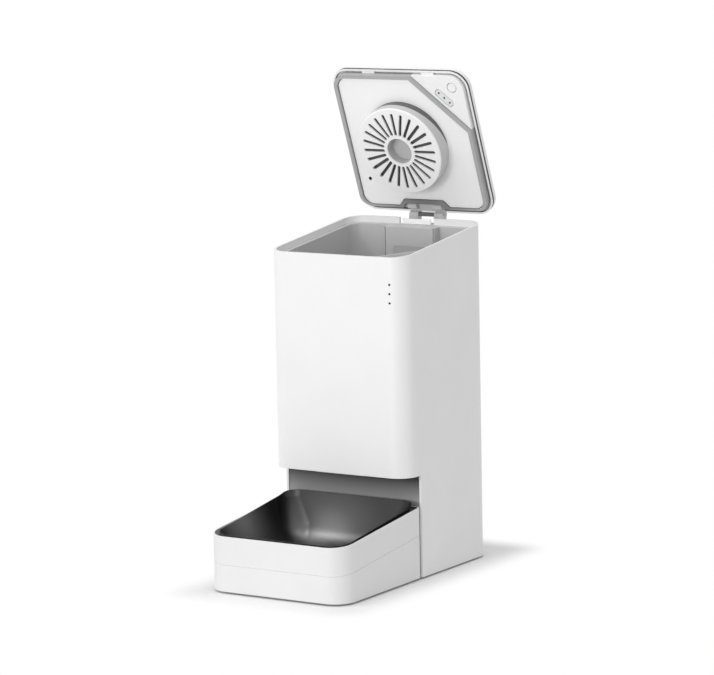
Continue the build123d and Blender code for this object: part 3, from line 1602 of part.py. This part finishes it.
tray_floor_t = 2.5
with BuildPart() as tray_base:
    with BuildSketch(Plane.XY.offset(base_z)):
        tray_outline(0)
    extrude(amount=tray_rim_h + tray_reach)
    keep_below(seam_plane)
    chamfer(faces().sort_by(Axis(tray_rim.origin, tray_rim.z_dir))[-1].edges(), seam_bevel)
    chamfer(faces().sort_by(Axis.Z)[0].edges(), 0.6)
    with BuildSketch(Plane.XY.offset(base_z + tray_floor_t)):
        tray_outline(tray_wall)
    extrude(amount=tray_rim_h + tray_reach, mode=Mode.SUBTRACT)
    # hooks that reach through the recess panel
    with BuildSketch(Plane.XZ.offset(-tray_back)):
        with Locations((0, hook_z + hook_h / 2)):
            with GridLocations(2 * hook_x, 0, 2, 1):
                Rectangle(hook_w, hook_h)
    extrude(amount=-hook_l)
    with BuildSketch(Plane.XY.offset(base_z)):
        for y in feet_tray:
            with Locations((-tray_foot_x, y), (tray_foot_x, y)):
                Circle(foot_r + 0.1)
    extrude(amount=foot_sink, mode=Mode.SUBTRACT)
finish(tray_base.part, "tray_base")

bowl_mid = tray_len / 2 / math.cos(slope)
bowl_in = tray_lip + bowl_lip_w + run


up_from_rim = Axis(tray_rim.origin, tray_rim.z_dir)


def bowl_outline(inset, front_r, back_r):
    """Bowl outline on a plane parallel to the tray's rim."""
    with Locations((0, bowl_mid)):
        Rectangle(body_w - 2 * inset, 2 * bowl_mid - 2 * inset)
    fillet(vertices().sort_by(Axis.Y)[:2], front_r)
    fillet(vertices().sort_by(Axis.Y)[-2:], back_r)


with BuildPart() as bowl_hollow:
    with BuildSketch(lip_plane.offset(bowl_lip_t)):
        bowl_outline(bowl_in + bowl_t, bowl_front_r - bowl_t, bowl_back_r - bowl_t)
    with BuildSketch(lip_plane.offset(bowl_lip_t - bowl_depth + bowl_t)):
        bowl_outline(bowl_in + bowl_t + bowl_slant, bowl_floor_r, bowl_floor_r)
    loft()
    fillet(faces().sort_by(up_from_rim)[0].edges(), bowl_round - bowl_t)

# upstand that climbs along the sides to the rear edge
rise_end = 2 * bowl_mid - bowl_in
lip_side = Plane(
    origin=lip_plane.from_local_coords((-half_w, 0, bowl_lip_t)),
    x_dir=lip_plane.y_dir,
    z_dir=(1, 0, 0),
)
lean = bowl_slant / bowl_depth  # the upstand goes on at the slope of the bowl's wall
lean_foot = lean * bowl_lip_t
lean_top = lean * bowl_back_rise
with BuildPart() as upstand_hollow:
    with BuildSketch(lip_plane):
        bowl_outline(
            bowl_in + bowl_t + lean_foot, bowl_front_r - bowl_t, bowl_back_r - bowl_t - lean_foot
        )
    with BuildSketch(lip_plane.offset(bowl_lip_t + bowl_back_rise)):
        bowl_outline(
            bowl_in + bowl_t - lean_top, bowl_front_r - bowl_t, bowl_back_r - bowl_t + lean_top
        )
    loft()
with BuildPart() as bowl_upstand:
    with BuildSketch(lip_plane):
        bowl_outline(bowl_in + lean_foot, bowl_front_r, bowl_back_r - lean_foot)
    with BuildSketch(lip_plane.offset(bowl_lip_t + bowl_back_rise)):
        bowl_outline(bowl_in - lean_top, bowl_front_r, bowl_back_r + lean_top)
    loft()
    add(upstand_hollow.part, mode=Mode.SUBTRACT)
    with BuildSketch(lip_side):
        with BuildLine():
            climb = Polyline(
                (-reach, bowl_bead_h),
                (bowl_in + bowl_front_r, bowl_bead_h),
                (rise_end - bowl_back_r, bowl_side_rise),
            )
            bend = Spline(
                climb @ 1,
                (rise_end - 1, bowl_back_rise),
                tangents=[climb % 1, (1, 0)],
            )
            Polyline(
                bend @ 1,
                (rise_end - 1, 2 * bowl_back_rise),
                (-reach, 2 * bowl_back_rise),
                climb @ 0,
            )
        make_face()
    extrude(amount=body_w, mode=Mode.SUBTRACT)

with BuildPart() as steel_bowl:
    with BuildSketch(lip_plane.offset(bowl_lip_t)):
        bowl_outline(bowl_in, bowl_front_r, bowl_back_r)
    with BuildSketch(lip_plane.offset(bowl_lip_t - bowl_depth)):
        bowl_outline(bowl_in + bowl_slant, bowl_floor_r, bowl_floor_r)
    loft()
    fillet(faces().sort_by(up_from_rim)[0].edges(), bowl_round)
    with BuildSketch(lip_plane):
        bowl_outline(tray_lip + run, tray_r - tray_lip - run, 4.6)
    extrude(amount=bowl_lip_t)
    add(bowl_hollow.part, mode=Mode.SUBTRACT)
    add(bowl_upstand.part)
finish(steel_bowl.part, "steel_bowl")

print("neck_y", round(neck_y, 3), "rear_y", round(rear_y, 3), "front_y", round(front_y, 3))
print("axis", round(axis_y, 3), round(axis_z, 3), "lid", round(lid_y, 3), round(lid_z, 3))
print("rear_rim_h", round(rear_rim_h, 3), "lid_l", round(lid_l, 3), "mid_y", round(mid_y, 3))
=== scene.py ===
import math

import bpy
from mathutils import Matrix, Vector


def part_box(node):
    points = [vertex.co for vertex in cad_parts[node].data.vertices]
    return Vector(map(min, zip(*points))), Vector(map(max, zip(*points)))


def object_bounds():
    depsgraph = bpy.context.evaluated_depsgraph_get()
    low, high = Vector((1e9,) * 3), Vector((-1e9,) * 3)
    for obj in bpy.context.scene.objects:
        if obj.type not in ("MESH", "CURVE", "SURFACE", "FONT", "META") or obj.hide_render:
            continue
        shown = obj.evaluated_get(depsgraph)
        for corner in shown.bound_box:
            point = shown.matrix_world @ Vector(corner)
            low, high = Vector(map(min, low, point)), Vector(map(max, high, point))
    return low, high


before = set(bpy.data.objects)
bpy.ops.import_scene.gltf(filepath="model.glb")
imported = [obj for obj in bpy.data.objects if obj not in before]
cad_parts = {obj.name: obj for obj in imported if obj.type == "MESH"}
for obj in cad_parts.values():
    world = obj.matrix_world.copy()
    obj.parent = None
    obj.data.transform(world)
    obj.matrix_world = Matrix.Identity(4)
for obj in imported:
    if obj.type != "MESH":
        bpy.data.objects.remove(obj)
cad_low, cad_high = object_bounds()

# Looks, floor, light and camera for a dry-food feeder with an open lid and a steel bowl.
# Metres. The bowl looks to -Y, and the lid stands open at the rear.

scene = bpy.context.scene

# ---------------------------------------------------------------------------
# Nodes
# ---------------------------------------------------------------------------

# colour sockets of a Mix node, by number: its other kinds use the same names
mix_first = 6
mix_second = 7
mix_result = 2

number_results = ("DOT_PRODUCT", "LENGTH", "DISTANCE")  # vector operations that give a number


def node_maker(tree):
    """A function that adds a node, with its settings, and its inputs as values or links."""

    def node(kind, inputs=None, **settings):
        made = tree.nodes.new("ShaderNode" + kind)
        for key, value in settings.items():
            setattr(made, key, value)
        for key, value in (inputs or {}).items():
            if isinstance(value, bpy.types.NodeSocket):
                tree.links.new(value, made.inputs[key])
            else:
                made.inputs[key].default_value = value
        return made

    return node


def new_material(name):
    """An empty node material with its surface shader, and a maker of further nodes."""
    mat = bpy.data.materials.new(name)
    mat.use_nodes = True
    tree = mat.node_tree
    return mat, tree, tree.nodes["Principled BSDF"], node_maker(tree)


def calc(node, operation, *values):
    return node("Math", dict(enumerate(values)), operation=operation).outputs[0]


def vector_calc(node, operation, *values):
    made = node("VectorMath", dict(enumerate(values)), operation=operation)
    return made.outputs["Value" if operation in number_results else "Vector"]


def ramp(node, value, first, last, low, high, interpolation="LINEAR"):
    """The value carried over from first..last to low..high."""
    limits = {"Value": value, "From Min": first, "From Max": last, "To Min": low, "To Max": high}
    return node("MapRange", limits, interpolation_type=interpolation).outputs["Result"]


def noise(node, place, scale, detail, **more):
    return node("TexNoise", {"Vector": place, "Scale": scale, "Detail": detail, **more}).outputs["Fac"]


def cells(node, place, scale, **more):
    return node("TexVoronoi", {"Vector": place, "Scale": scale, **more}).outputs["Distance"]


def object_place(node):
    return node("TexCoord").outputs["Object"]


def grey(value, tint=(1.0, 1.0, 1.0)):
    return (value * tint[0], value * tint[1], value * tint[2], 1.0)


def wandering(node, factor, value, dark, light, tint=(1.0, 1.0, 1.0)):
    """A tone that wanders between two shares of its value."""
    tone = node("Mix", {"Factor": factor}, data_type="RGBA")
    tone.inputs[mix_first].default_value = grey(value * dark, tint)
    tone.inputs[mix_second].default_value = grey(min(1.0, value * light), tint)
    return tone.outputs[mix_result]


def scaled(node, tone, share):
    """The tone times a share that changes over the surface, or the tone itself."""
    return tone if share is None else vector_calc(node, "MULTIPLY", tone, share)


def near(node, place, middle, reach, inside, outside):
    """A number that goes smoothly from its value at a point to another at a distance."""
    away = vector_calc(node, "DISTANCE", place, middle)
    return ramp(node, away, 0.0, reach, inside, outside, "SMOOTHSTEP")


def bumped(node, height, strength, distance, **more):
    relief = {"Height": height, "Strength": strength, "Distance": distance, **more}
    return node("Bump", relief).outputs["Normal"]


def cover(tree, bsdf, tone, gloss, normal):
    tree.links.new(tone, bsdf.inputs["Base Color"])
    tree.links.new(gloss, bsdf.inputs["Roughness"])
    tree.links.new(normal, bsdf.inputs["Normal"])


# ---------------------------------------------------------------------------
# Kinds of material
# ---------------------------------------------------------------------------

broad_scale = 22.0
grain_scale = 2300.0
grain_span = (0.3, 0.7)  # stretch of the noise that the roughness follows
pit_scale = 1500.0
grain_height = 0.00001
plastic_spread = 0.06  # how far the roughness wanders to each side
plastic_specular = 0.4
coat_rough = 0.25
bevel_samples = 4


def height_share(node, place, shade):
    low_z, high_z, least = shade
    return ramp(node, node("SeparateXYZ", {0: place}).outputs["Z"], low_z, high_z, 1.0, least)


def zone_share(node, place, zone):
    middle, along, first, last, radius, least = zone
    offset = vector_calc(node, "SUBTRACT", place, middle)
    depth = vector_calc(node, "DOT_PRODUCT", offset, along)
    across = vector_calc(node, "LENGTH", vector_calc(node, "CROSS_PRODUCT", offset, along))
    level = calc(node, "COMPARE", depth, (first + last) / 2, (last - first) / 2)
    inside = calc(node, "MULTIPLY", level, calc(node, "LESS_THAN", across, radius))
    return ramp(node, inside, 0.0, 1.0, 1.0, least)


def plastic(name, value, rough=0.45, tint=(1.0, 1.0, 1.0), grain=0.6, mottle=0.03,
            coat=0.0, round_edges=0.0, shade=None, zone=None):
    """Moulded plastic: a spark-eroded grain, a faint unevenness of tone and of gloss.

    shade: two heights and the share of the tone that is left at the second.
    zone: a point, a direction, a range along it, a radius round it and a share of the tone.
    """
    mat, tree, bsdf, node = new_material(name)
    place = object_place(node)
    fine = noise(node, place, grain_scale, detail=2.0)
    broad = noise(node, place, broad_scale, detail=3.0)
    tone = wandering(node, broad, value, 1 - mottle, 1 + mottle, tint)
    share = None
    if shade:
        share = height_share(node, place, shade)
    if zone:
        share = zone_share(node, place, zone)
    gloss = ramp(node, fine, *grain_span, rough - plastic_spread, rough + plastic_spread)
    relief = calc(node, "ADD", fine, cells(node, place, pit_scale))
    base = {}
    if round_edges:
        base["Normal"] = node("Bevel", {"Radius": round_edges}, samples=bevel_samples).outputs["Normal"]
    cover(tree, bsdf, scaled(node, tone, share), gloss, bumped(node, relief, grain, grain_height, **base))
    bsdf.inputs["Specular IOR Level"].default_value = plastic_specular
    bsdf.inputs["Coat Weight"].default_value = coat
    bsdf.inputs["Coat Roughness"].default_value = coat_rough
    return mat


rubber_rough = 0.75
rubber_spread = 0.1
rubber_sheen = 0.15
dust_scale = 120.0
dust_tones = (0.94, 1.06)  # shares of the tone between which it wanders
rubber_scale = 1800.0
rubber_grain = 0.4
rubber_height = 0.00003


def rubber(name, value, painted_shade=None):
    """Moulded rubber or silicone: soft grain and a dusty bloom.

    painted_shade: the middle of a darker stretch of painted shade, its reach and the share of the tone
    left in its middle.
    """
    mat, tree, bsdf, node = new_material(name)
    place = object_place(node)
    dust = noise(node, place, dust_scale, detail=6.0, Roughness=0.7)
    tone = wandering(node, dust, value, *dust_tones)
    share = None
    # painted shade: a darker stretch round a point
    if painted_shade:
        middle, reach, least = painted_shade
        share = near(node, place, middle, reach, inside=least, outside=1.0)
    gloss = ramp(node, dust, 0.0, 1.0, rubber_rough - rubber_spread, rubber_rough + rubber_spread)
    normal = bumped(node, noise(node, place, rubber_scale, detail=3.0), rubber_grain, rubber_height)
    cover(tree, bsdf, scaled(node, tone, share), gloss, normal)
    bsdf.inputs["Sheen Weight"].default_value = rubber_sheen
    return mat


line_scale = 60.0
line_tones = (0.93, 1.05)
smear_scale = 35.0
wear_span = (0.6, 1.4)  # stretch of lines plus smears that the roughness follows
metal_spread = 0.08
scratch_height = 0.00002


def metal(name, value, rough=0.3, tint=(1.0, 1.0, 1.0), along=(1.0, 60.0, 60.0), scratch=0.25,
          painted_glow=None):
    """Drawn or turned metal, with fine lines along one direction and faint smears.

    painted_glow: the share of the tone left outside the painted highlights, then the patches of painted
    highlight, each with its middle, its reach and the share that it adds.
    """
    mat, tree, bsdf, node = new_material(name)
    place = object_place(node)
    stretch = node("Mapping", {"Vector": place, "Scale": along}).outputs[0]
    lines = noise(node, stretch, line_scale, detail=6.0, Roughness=0.6)
    tone = wandering(node, lines, value, *line_tones, tint)
    share = None
    # painted highlights: soft patches added onto a darkened share of the tone
    if painted_glow:
        share, glow_patches = painted_glow
        for middle, reach, added in glow_patches:
            glow_patch = near(node, place, middle, reach, inside=added, outside=0.0)
            share = calc(node, "ADD", glow_patch, share)
    wear = calc(node, "ADD", lines, noise(node, place, smear_scale, detail=4.0))
    gloss = ramp(node, wear, *wear_span, rough - metal_spread, rough + metal_spread)
    cover(tree, bsdf, scaled(node, tone, share), gloss, bumped(node, lines, scratch, scratch_height))
    bsdf.inputs["Metallic"].default_value = 1.0
    return mat


mask_dark = (0.02, 0.14, 0.07, 1)
mask_light = (0.03, 0.17, 0.08, 1)
mask_over_trace = (0.08, 0.27, 0.14, 1)
trace_scale = 300.0
trace_gap = 0.04
trace_relief = 0.4
trace_height = 0.00003
lacquer_scale = 900.0
lacquer_rough = (0.25, 0.45)


def board(name):
    """Solder-masked board: traces under the lacquer."""
    mat, tree, bsdf, node = new_material(name)
    place = object_place(node)
    traces = node("TexBrick", {
        "Vector": place, "Scale": trace_scale, "Mortar Size": trace_gap,
        "Color1": mask_dark, "Color2": mask_light, "Mortar": mask_over_trace,
    })
    gloss = ramp(node, noise(node, place, lacquer_scale, detail=2.0), 0.0, 1.0, *lacquer_rough)
    normal = bumped(node, traces.outputs["Fac"], trace_relief, trace_height)
    cover(tree, bsdf, traces.outputs["Color"], gloss, normal)
    return mat


fibre_scale = 700.0
fibre_tones = (0.85, 1.05)
emboss_scale = 420.0
emboss_relief = 0.7
emboss_height = 0.0002
pouch_rough = 0.9
pouch_sheen = 0.3


def fabric(name, value):
    """Non-woven pouch: pressed fibres with a diamond emboss."""
    mat, tree, bsdf, node = new_material(name)
    place = object_place(node)
    fibres = noise(node, place, fibre_scale, detail=8.0, Distortion=2.0)
    height = calc(node, "ADD", fibres, cells(node, place, emboss_scale, Randomness=0.1))
    tree.links.new(wandering(node, fibres, value, *fibre_tones), bsdf.inputs["Base Color"])
    tree.links.new(bumped(node, height, emboss_relief, emboss_height), bsdf.inputs["Normal"])
    bsdf.inputs["Roughness"].default_value = pouch_rough
    bsdf.inputs["Sheen Weight"].default_value = pouch_sheen
    return mat


# ---------------------------------------------------------------------------
# Materials of the pieces
# ---------------------------------------------------------------------------

# the open lid: a point on the plane of its rim, and the way that its inner face looks
lid_origin = (0.0, 0.15103, 0.358895)
lid_inward = (0.0, -0.931692, -0.363251)
# depths along lid_inward are counted from that plane
lid_seam_shade = (-0.0031, -0.00045)  # the painted shadow line round the lid's side
box_centre = (-0.004, 0.121243, 0.435294)
box_hollow_shade = (-0.05, 0.0208)  # painted shade in the hollow, up to just short of the desiccant box's face
box_hollow_shade_r = 0.0155
panel_screw = (-0.061, 0.136863, 0.395231)
screw_hole_shade = (-0.002, 0.0039)  # painted shade in the hole over the screw's head
screw_hole_shade_r = 0.0022
# the crescent of shade on the desiccant box's side, cut off by a slanting plane
box_foot = (-0.004, 0.117237, 0.433732)
foot_slant = (0.05557, 0.83465, 0.548)
foot_shade = (0.00272, 0.06)
# heights between which painted shade darkens the recess wall under the overhang
overhang_shade = (0.082, 0.103)
# soft patches of painted shade and of painted highlight
hinge_middle = (0.0, 0.149, 0.366)
bowl_glow = (-0.022, -0.036, 0.034)
bowl_glow_fringe = (-0.02, -0.036, 0.034)
bowl_left_wall_highlight = (-0.074, -0.095, 0.058)
everywhere = 1.0  # a radius that takes in the whole part
edge = 0.0003  # how far moulded edges look rounded

housing = plastic("housing_white", 0.86, rough=0.42, round_edges=0.0004)
# painted shade: darker than the housing's white, to take off the light that the floor throws up
tray_shaded_white = plastic("tray_shaded_white", 0.8, rough=0.42, round_edges=edge)
# the zone paints a shadow line round the lid's side
lid_white = plastic("lid_white", 0.88, rough=0.4, round_edges=edge,
                    zone=(lid_origin, lid_inward, *lid_seam_shade, everywhere, 0.1))
# painted light: whiter than the lid's shell white, to make up for the shade on the leaning panel
panel_white = plastic("panel_white", 0.95, rough=0.5, round_edges=edge,
                      # the zone paints shade in the hole over the screw's head
                      zone=(panel_screw, lid_inward, *screw_hole_shade, screw_hole_shade_r, 0.1))
cover_white = plastic("cover_white", 0.92, round_edges=edge)
box_white = plastic("box_white", 0.94, round_edges=edge,
                    # the zone paints shade in the hollow in the middle of the box's face
                    zone=(box_centre, lid_inward, *box_hollow_shade, box_hollow_shade_r, 0.6))
# painted shade: the grey tone and the darkening under the overhang stand for a white wall in shadow
recess_painted_shade = plastic("recess_painted_shade", 0.33, rough=0.5, shade=(*overhang_shade, 0.09))
hopper_grey = plastic("hopper_grey", 0.575, rough=0.4, round_edges=edge)
inner_grey = plastic("inner_grey", 0.45, rough=0.5)
base_grey = plastic("base_grey", 0.75, rough=0.6)
smoke = plastic("smoke_plastic", 0.03, rough=0.15, grain=0.1)
window = plastic("window_plastic", 0.5, rough=0.25, grain=0.1)
dark = plastic("dark_plastic", 0.05, rough=0.5)
# painted shade: darker in a stretch round the hinge
seal = rubber("seal_silicone", 0.42, painted_shade=(hinge_middle, 0.08, 0.45))
foot = rubber("foot_rubber", 0.06)
# painted reflection: the steel is darkened all over, with patches of painted highlight on the floor and
# the left wall
steel = metal("bowl_steel", 0.25, rough=0.38, along=(1.0, 40.0, 40.0),
              painted_glow=(0.2, [(bowl_glow, 0.045, 0.55), (bowl_glow_fringe, 0.08, 0.36),
                            (bowl_left_wall_highlight, 0.05, 1.3)]))
screw = metal("screw_steel", 0.6, along=(30.0, 30.0, 30.0))
# painted shade: the screws are near black to stand for the shade in their holes
black_screw_hole_shade = plastic("black_screw_hole_shade", 0.02, rough=0.5, grain=0.2)
contact = metal("contact_gold", 0.8, rough=0.25, tint=(1.0, 0.82, 0.45), along=(30.0, 30.0, 30.0))
# painted light: whiter than the other whites, to make up for the shade on the hinge block
hinge_lit_white = plastic("hinge_lit_white", 0.98, rough=0.4, mottle=0.01)
roller_grey = plastic("roller_grey", 0.16, rough=0.4)
hinge_grey = plastic("hinge_grey", 0.58, rough=0.22, grain=0.2)
cup_grey = plastic("cup_grey", 0.6, round_edges=edge,
                   zone=(box_foot, foot_slant, *foot_shade, everywhere, 0.22))
pad_grey = plastic("pad_grey", 0.8, rough=0.4)
clear = plastic("lens_clear", 0.75, rough=0.15, grain=0.1, coat=0.5)
green = board("board_green")
copper = metal("coil_copper", 0.8, rough=0.35, tint=(1.0, 0.55, 0.3), along=(1.0, 1.0, 40.0), scratch=0.8)
gear_white = plastic("gear_white", 0.75, rough=0.4, tint=(1.0, 0.98, 0.92))
brass = metal("pinion_brass", 0.75, tint=(1.0, 0.78, 0.4), along=(1.0, 1.0, 20.0))
can = metal("motor_can", 0.6, rough=0.28, along=(20.0, 20.0, 1.0))
jacket = plastic("cell_jacket", 0.06, rough=0.3, tint=(0.8, 0.95, 1.2), grain=0.1)
pouch = fabric("pouch_fabric", 0.12)

LOOKS = {
    housing: ["outer_shell"],
    tray_shaded_white: ["bowl_tray", "tray_base"],
    lid_white: ["lid_shell"],
    panel_white: ["lid_panel", "board_connectors"],
    cover_white: ["corner_cover", "lid_button", "lid_tabs"],
    hinge_lit_white: ["hinge_base"],
    roller_grey: ["hinge_roller"],
    box_white: ["desiccant_cover"],
    recess_painted_shade: ["recess_panel"],
    hopper_grey: ["hopper_bin", "hopper_funnel", "corner_deck"],
    inner_grey: ["rotor_housing", "portion_cover", "food_chute", "outlet_collar", "battery_box",
                 "gear_plate", "dispense_rotor", "stirrer"],
    base_grey: ["base_plate", "battery_door"],
    smoke: ["light_pipes", "lid_lenses"],
    clear: ["deck_lights"],
    window: ["level_window"],
    dark: ["power_socket", "drop_sensors", "feed_switch", "board_chips", "board_capacitors"],
    seal: ["lid_seal", "level_brush"],
    foot: ["rubber_feet"],
    steel: ["steel_bowl"],
    screw: ["base_screws", "housing_screws", "board_screws", "hinge_screws", "hinge_pin",
            "rotor_shaft"],
    black_screw_hole_shade: ["lid_screws"],
    contact: ["battery_contacts"],
    hinge_grey: ["hinge_arms"],
    cup_grey: ["desiccant_base"],
    pad_grey: ["lens_holder"],
    green: ["main_board", "light_board", "level_sensor"],
    copper: ["reader_coil"],
    gear_white: ["drive_gear", "idler_gear"],
    brass: ["motor_pinion"],
    can: ["gear_motor"],
    jacket: ["battery_cells"],
    pouch: ["desiccant_pack"],
}
for look, names in LOOKS.items():
    for name in names:
        for part_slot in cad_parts[name].material_slots:
            part_slot.material = look

# ---------------------------------------------------------------------------
# Floor and light
# ---------------------------------------------------------------------------

floor_size = 60.0
floor_drop = 0.0002  # keeps the floor off the feet's flat faces
floor_tone = 0.9
shadow_reach = 0.05  # over this distance from the footprint, the lit floor fades to plain white
sky_strength = 0.57
white_strength = 1.0

# name, place, point that it faces, side of its square, power
LAMPS = [
    ("key_softbox", (-0.3, -2.8, 0.5), (0, 0, 0.2), 1.2, 25.0),
    ("top_softbox", (0.4, -0.3, 2.3), (0, 0, 0.2), 1.6, 11.5),
    ("left_softbox", (-1.0, -1.0, 2.1), (0, -0.05, 0.05), 0.9, 8.0),
]


def build_floor():
    """A pale floor: lit near the object, so that it keeps the soft shadow, and plain white beyond."""
    bpy.ops.mesh.primitive_plane_add(size=floor_size, location=(0, 0, -floor_drop))
    floor = bpy.context.object
    floor.name = "floor"
    footprint_centre = ((cad_low[0] + cad_high[0]) / 2, (cad_low[1] + cad_high[1]) / 2, 0.0)
    footprint_half = ((cad_high[0] - cad_low[0]) / 2, (cad_high[1] - cad_low[1]) / 2, 0.0)
    mat, tree, bsdf, node = new_material("floor_white")
    tree.nodes.remove(bsdf)
    across = vector_calc(node, "SUBTRACT", object_place(node), footprint_centre)
    beyond = vector_calc(node, "SUBTRACT", vector_calc(node, "ABSOLUTE", across), footprint_half)
    outside = vector_calc(node, "MAXIMUM", beyond, (0.0, 0.0, 0.0))
    fade = ramp(node, vector_calc(node, "LENGTH", outside), 0.0, shadow_reach, 0.0, 1.0, "SMOOTHSTEP")
    ray = node("LightPath").outputs
    seen = calc(node, "MAXIMUM", ray["Is Camera Ray"], ray["Is Glossy Ray"])
    far = calc(node, "MULTIPLY", fade, seen)
    lit = node("BsdfDiffuse", {"Color": grey(floor_tone)}).outputs[0]
    glow = node("Emission", {"Color": grey(1.0), "Strength": white_strength}).outputs[0]
    mixed = node("MixShader", {"Fac": far, 1: lit, 2: glow}).outputs[0]
    tree.links.new(mixed, tree.nodes["Material Output"].inputs["Surface"])
    floor.data.materials.append(mat)


def build_world():
    """A soft sky that looks plain white to the camera, in metal and through clear pieces."""
    world = bpy.data.worlds.new("studio")
    scene.world = world
    world.use_nodes = True
    tree = world.node_tree
    tree.nodes.clear()
    node = node_maker(tree)
    ray = node("LightPath").outputs
    straight = calc(node, "MAXIMUM", ray["Is Camera Ray"], ray["Is Transmission Ray"])
    seen = calc(node, "MAXIMUM", straight, ray["Is Glossy Ray"])
    soft = node("Background", {"Color": grey(1.0), "Strength": sky_strength}).outputs[0]
    white = node("Background", {"Color": grey(1.0), "Strength": white_strength}).outputs[0]
    mixed = node("MixShader", {"Fac": seen, 1: soft, 2: white}).outputs[0]
    node("OutputWorld", {"Surface": mixed})


def area_light(name, place, aim, side, power):
    data = bpy.data.lights.new(name, "AREA")
    data.shape = "SQUARE"
    data.size = side
    data.energy = power
    lamp = bpy.data.objects.new(name, data)
    scene.collection.objects.link(lamp)
    lamp.location = place
    lamp.rotation_mode = "QUATERNION"
    lamp.rotation_quaternion = (Vector(aim) - Vector(place)).to_track_quat("-Z", "Y")


build_floor()
build_world()
for lamp_values in LAMPS:
    area_light(*lamp_values)

# ---------------------------------------------------------------------------
# Camera
# ---------------------------------------------------------------------------

# fitted to the photo's edges: the camera looks at aim, which is in the middle of the picture
azimuth = math.radians(32.585)
elevation = math.radians(8.35)
roll = math.radians(-1.117)
distance = 3.535324
lens_px = 3441.563
frame_px = 714.0
sensor_mm = 36.0
panel_set = 0.001  # the recess panel stands this far behind the front edges of the neck
neck_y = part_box("recess_panel")[0].y - panel_set
aim = Vector((0.005773, neck_y + 0.003690, 0.245086))

back = Vector((
    math.sin(azimuth) * math.cos(elevation),
    -math.cos(azimuth) * math.cos(elevation),
    math.sin(elevation),
))
side = Vector((math.cos(azimuth), math.sin(azimuth), 0))
up = side.cross(-back)
side_rolled = side * math.cos(roll) + up * math.sin(roll)
up_rolled = up * math.cos(roll) - side * math.sin(roll)
camera_data = bpy.data.cameras.new("camera")
camera_data.sensor_fit = "HORIZONTAL"
camera_data.sensor_width = sensor_mm
camera_data.lens = lens_px * sensor_mm / frame_px
camera_data.clip_end = 100.0
camera = bpy.data.objects.new("camera", camera_data)
scene.collection.objects.link(camera)
turn = Matrix((side_rolled, up_rolled, back)).transposed()
camera.matrix_world = Matrix.Translation(aim + back * distance) @ turn.to_4x4()
scene.camera = camera

scene.view_settings.view_transform = "Standard"
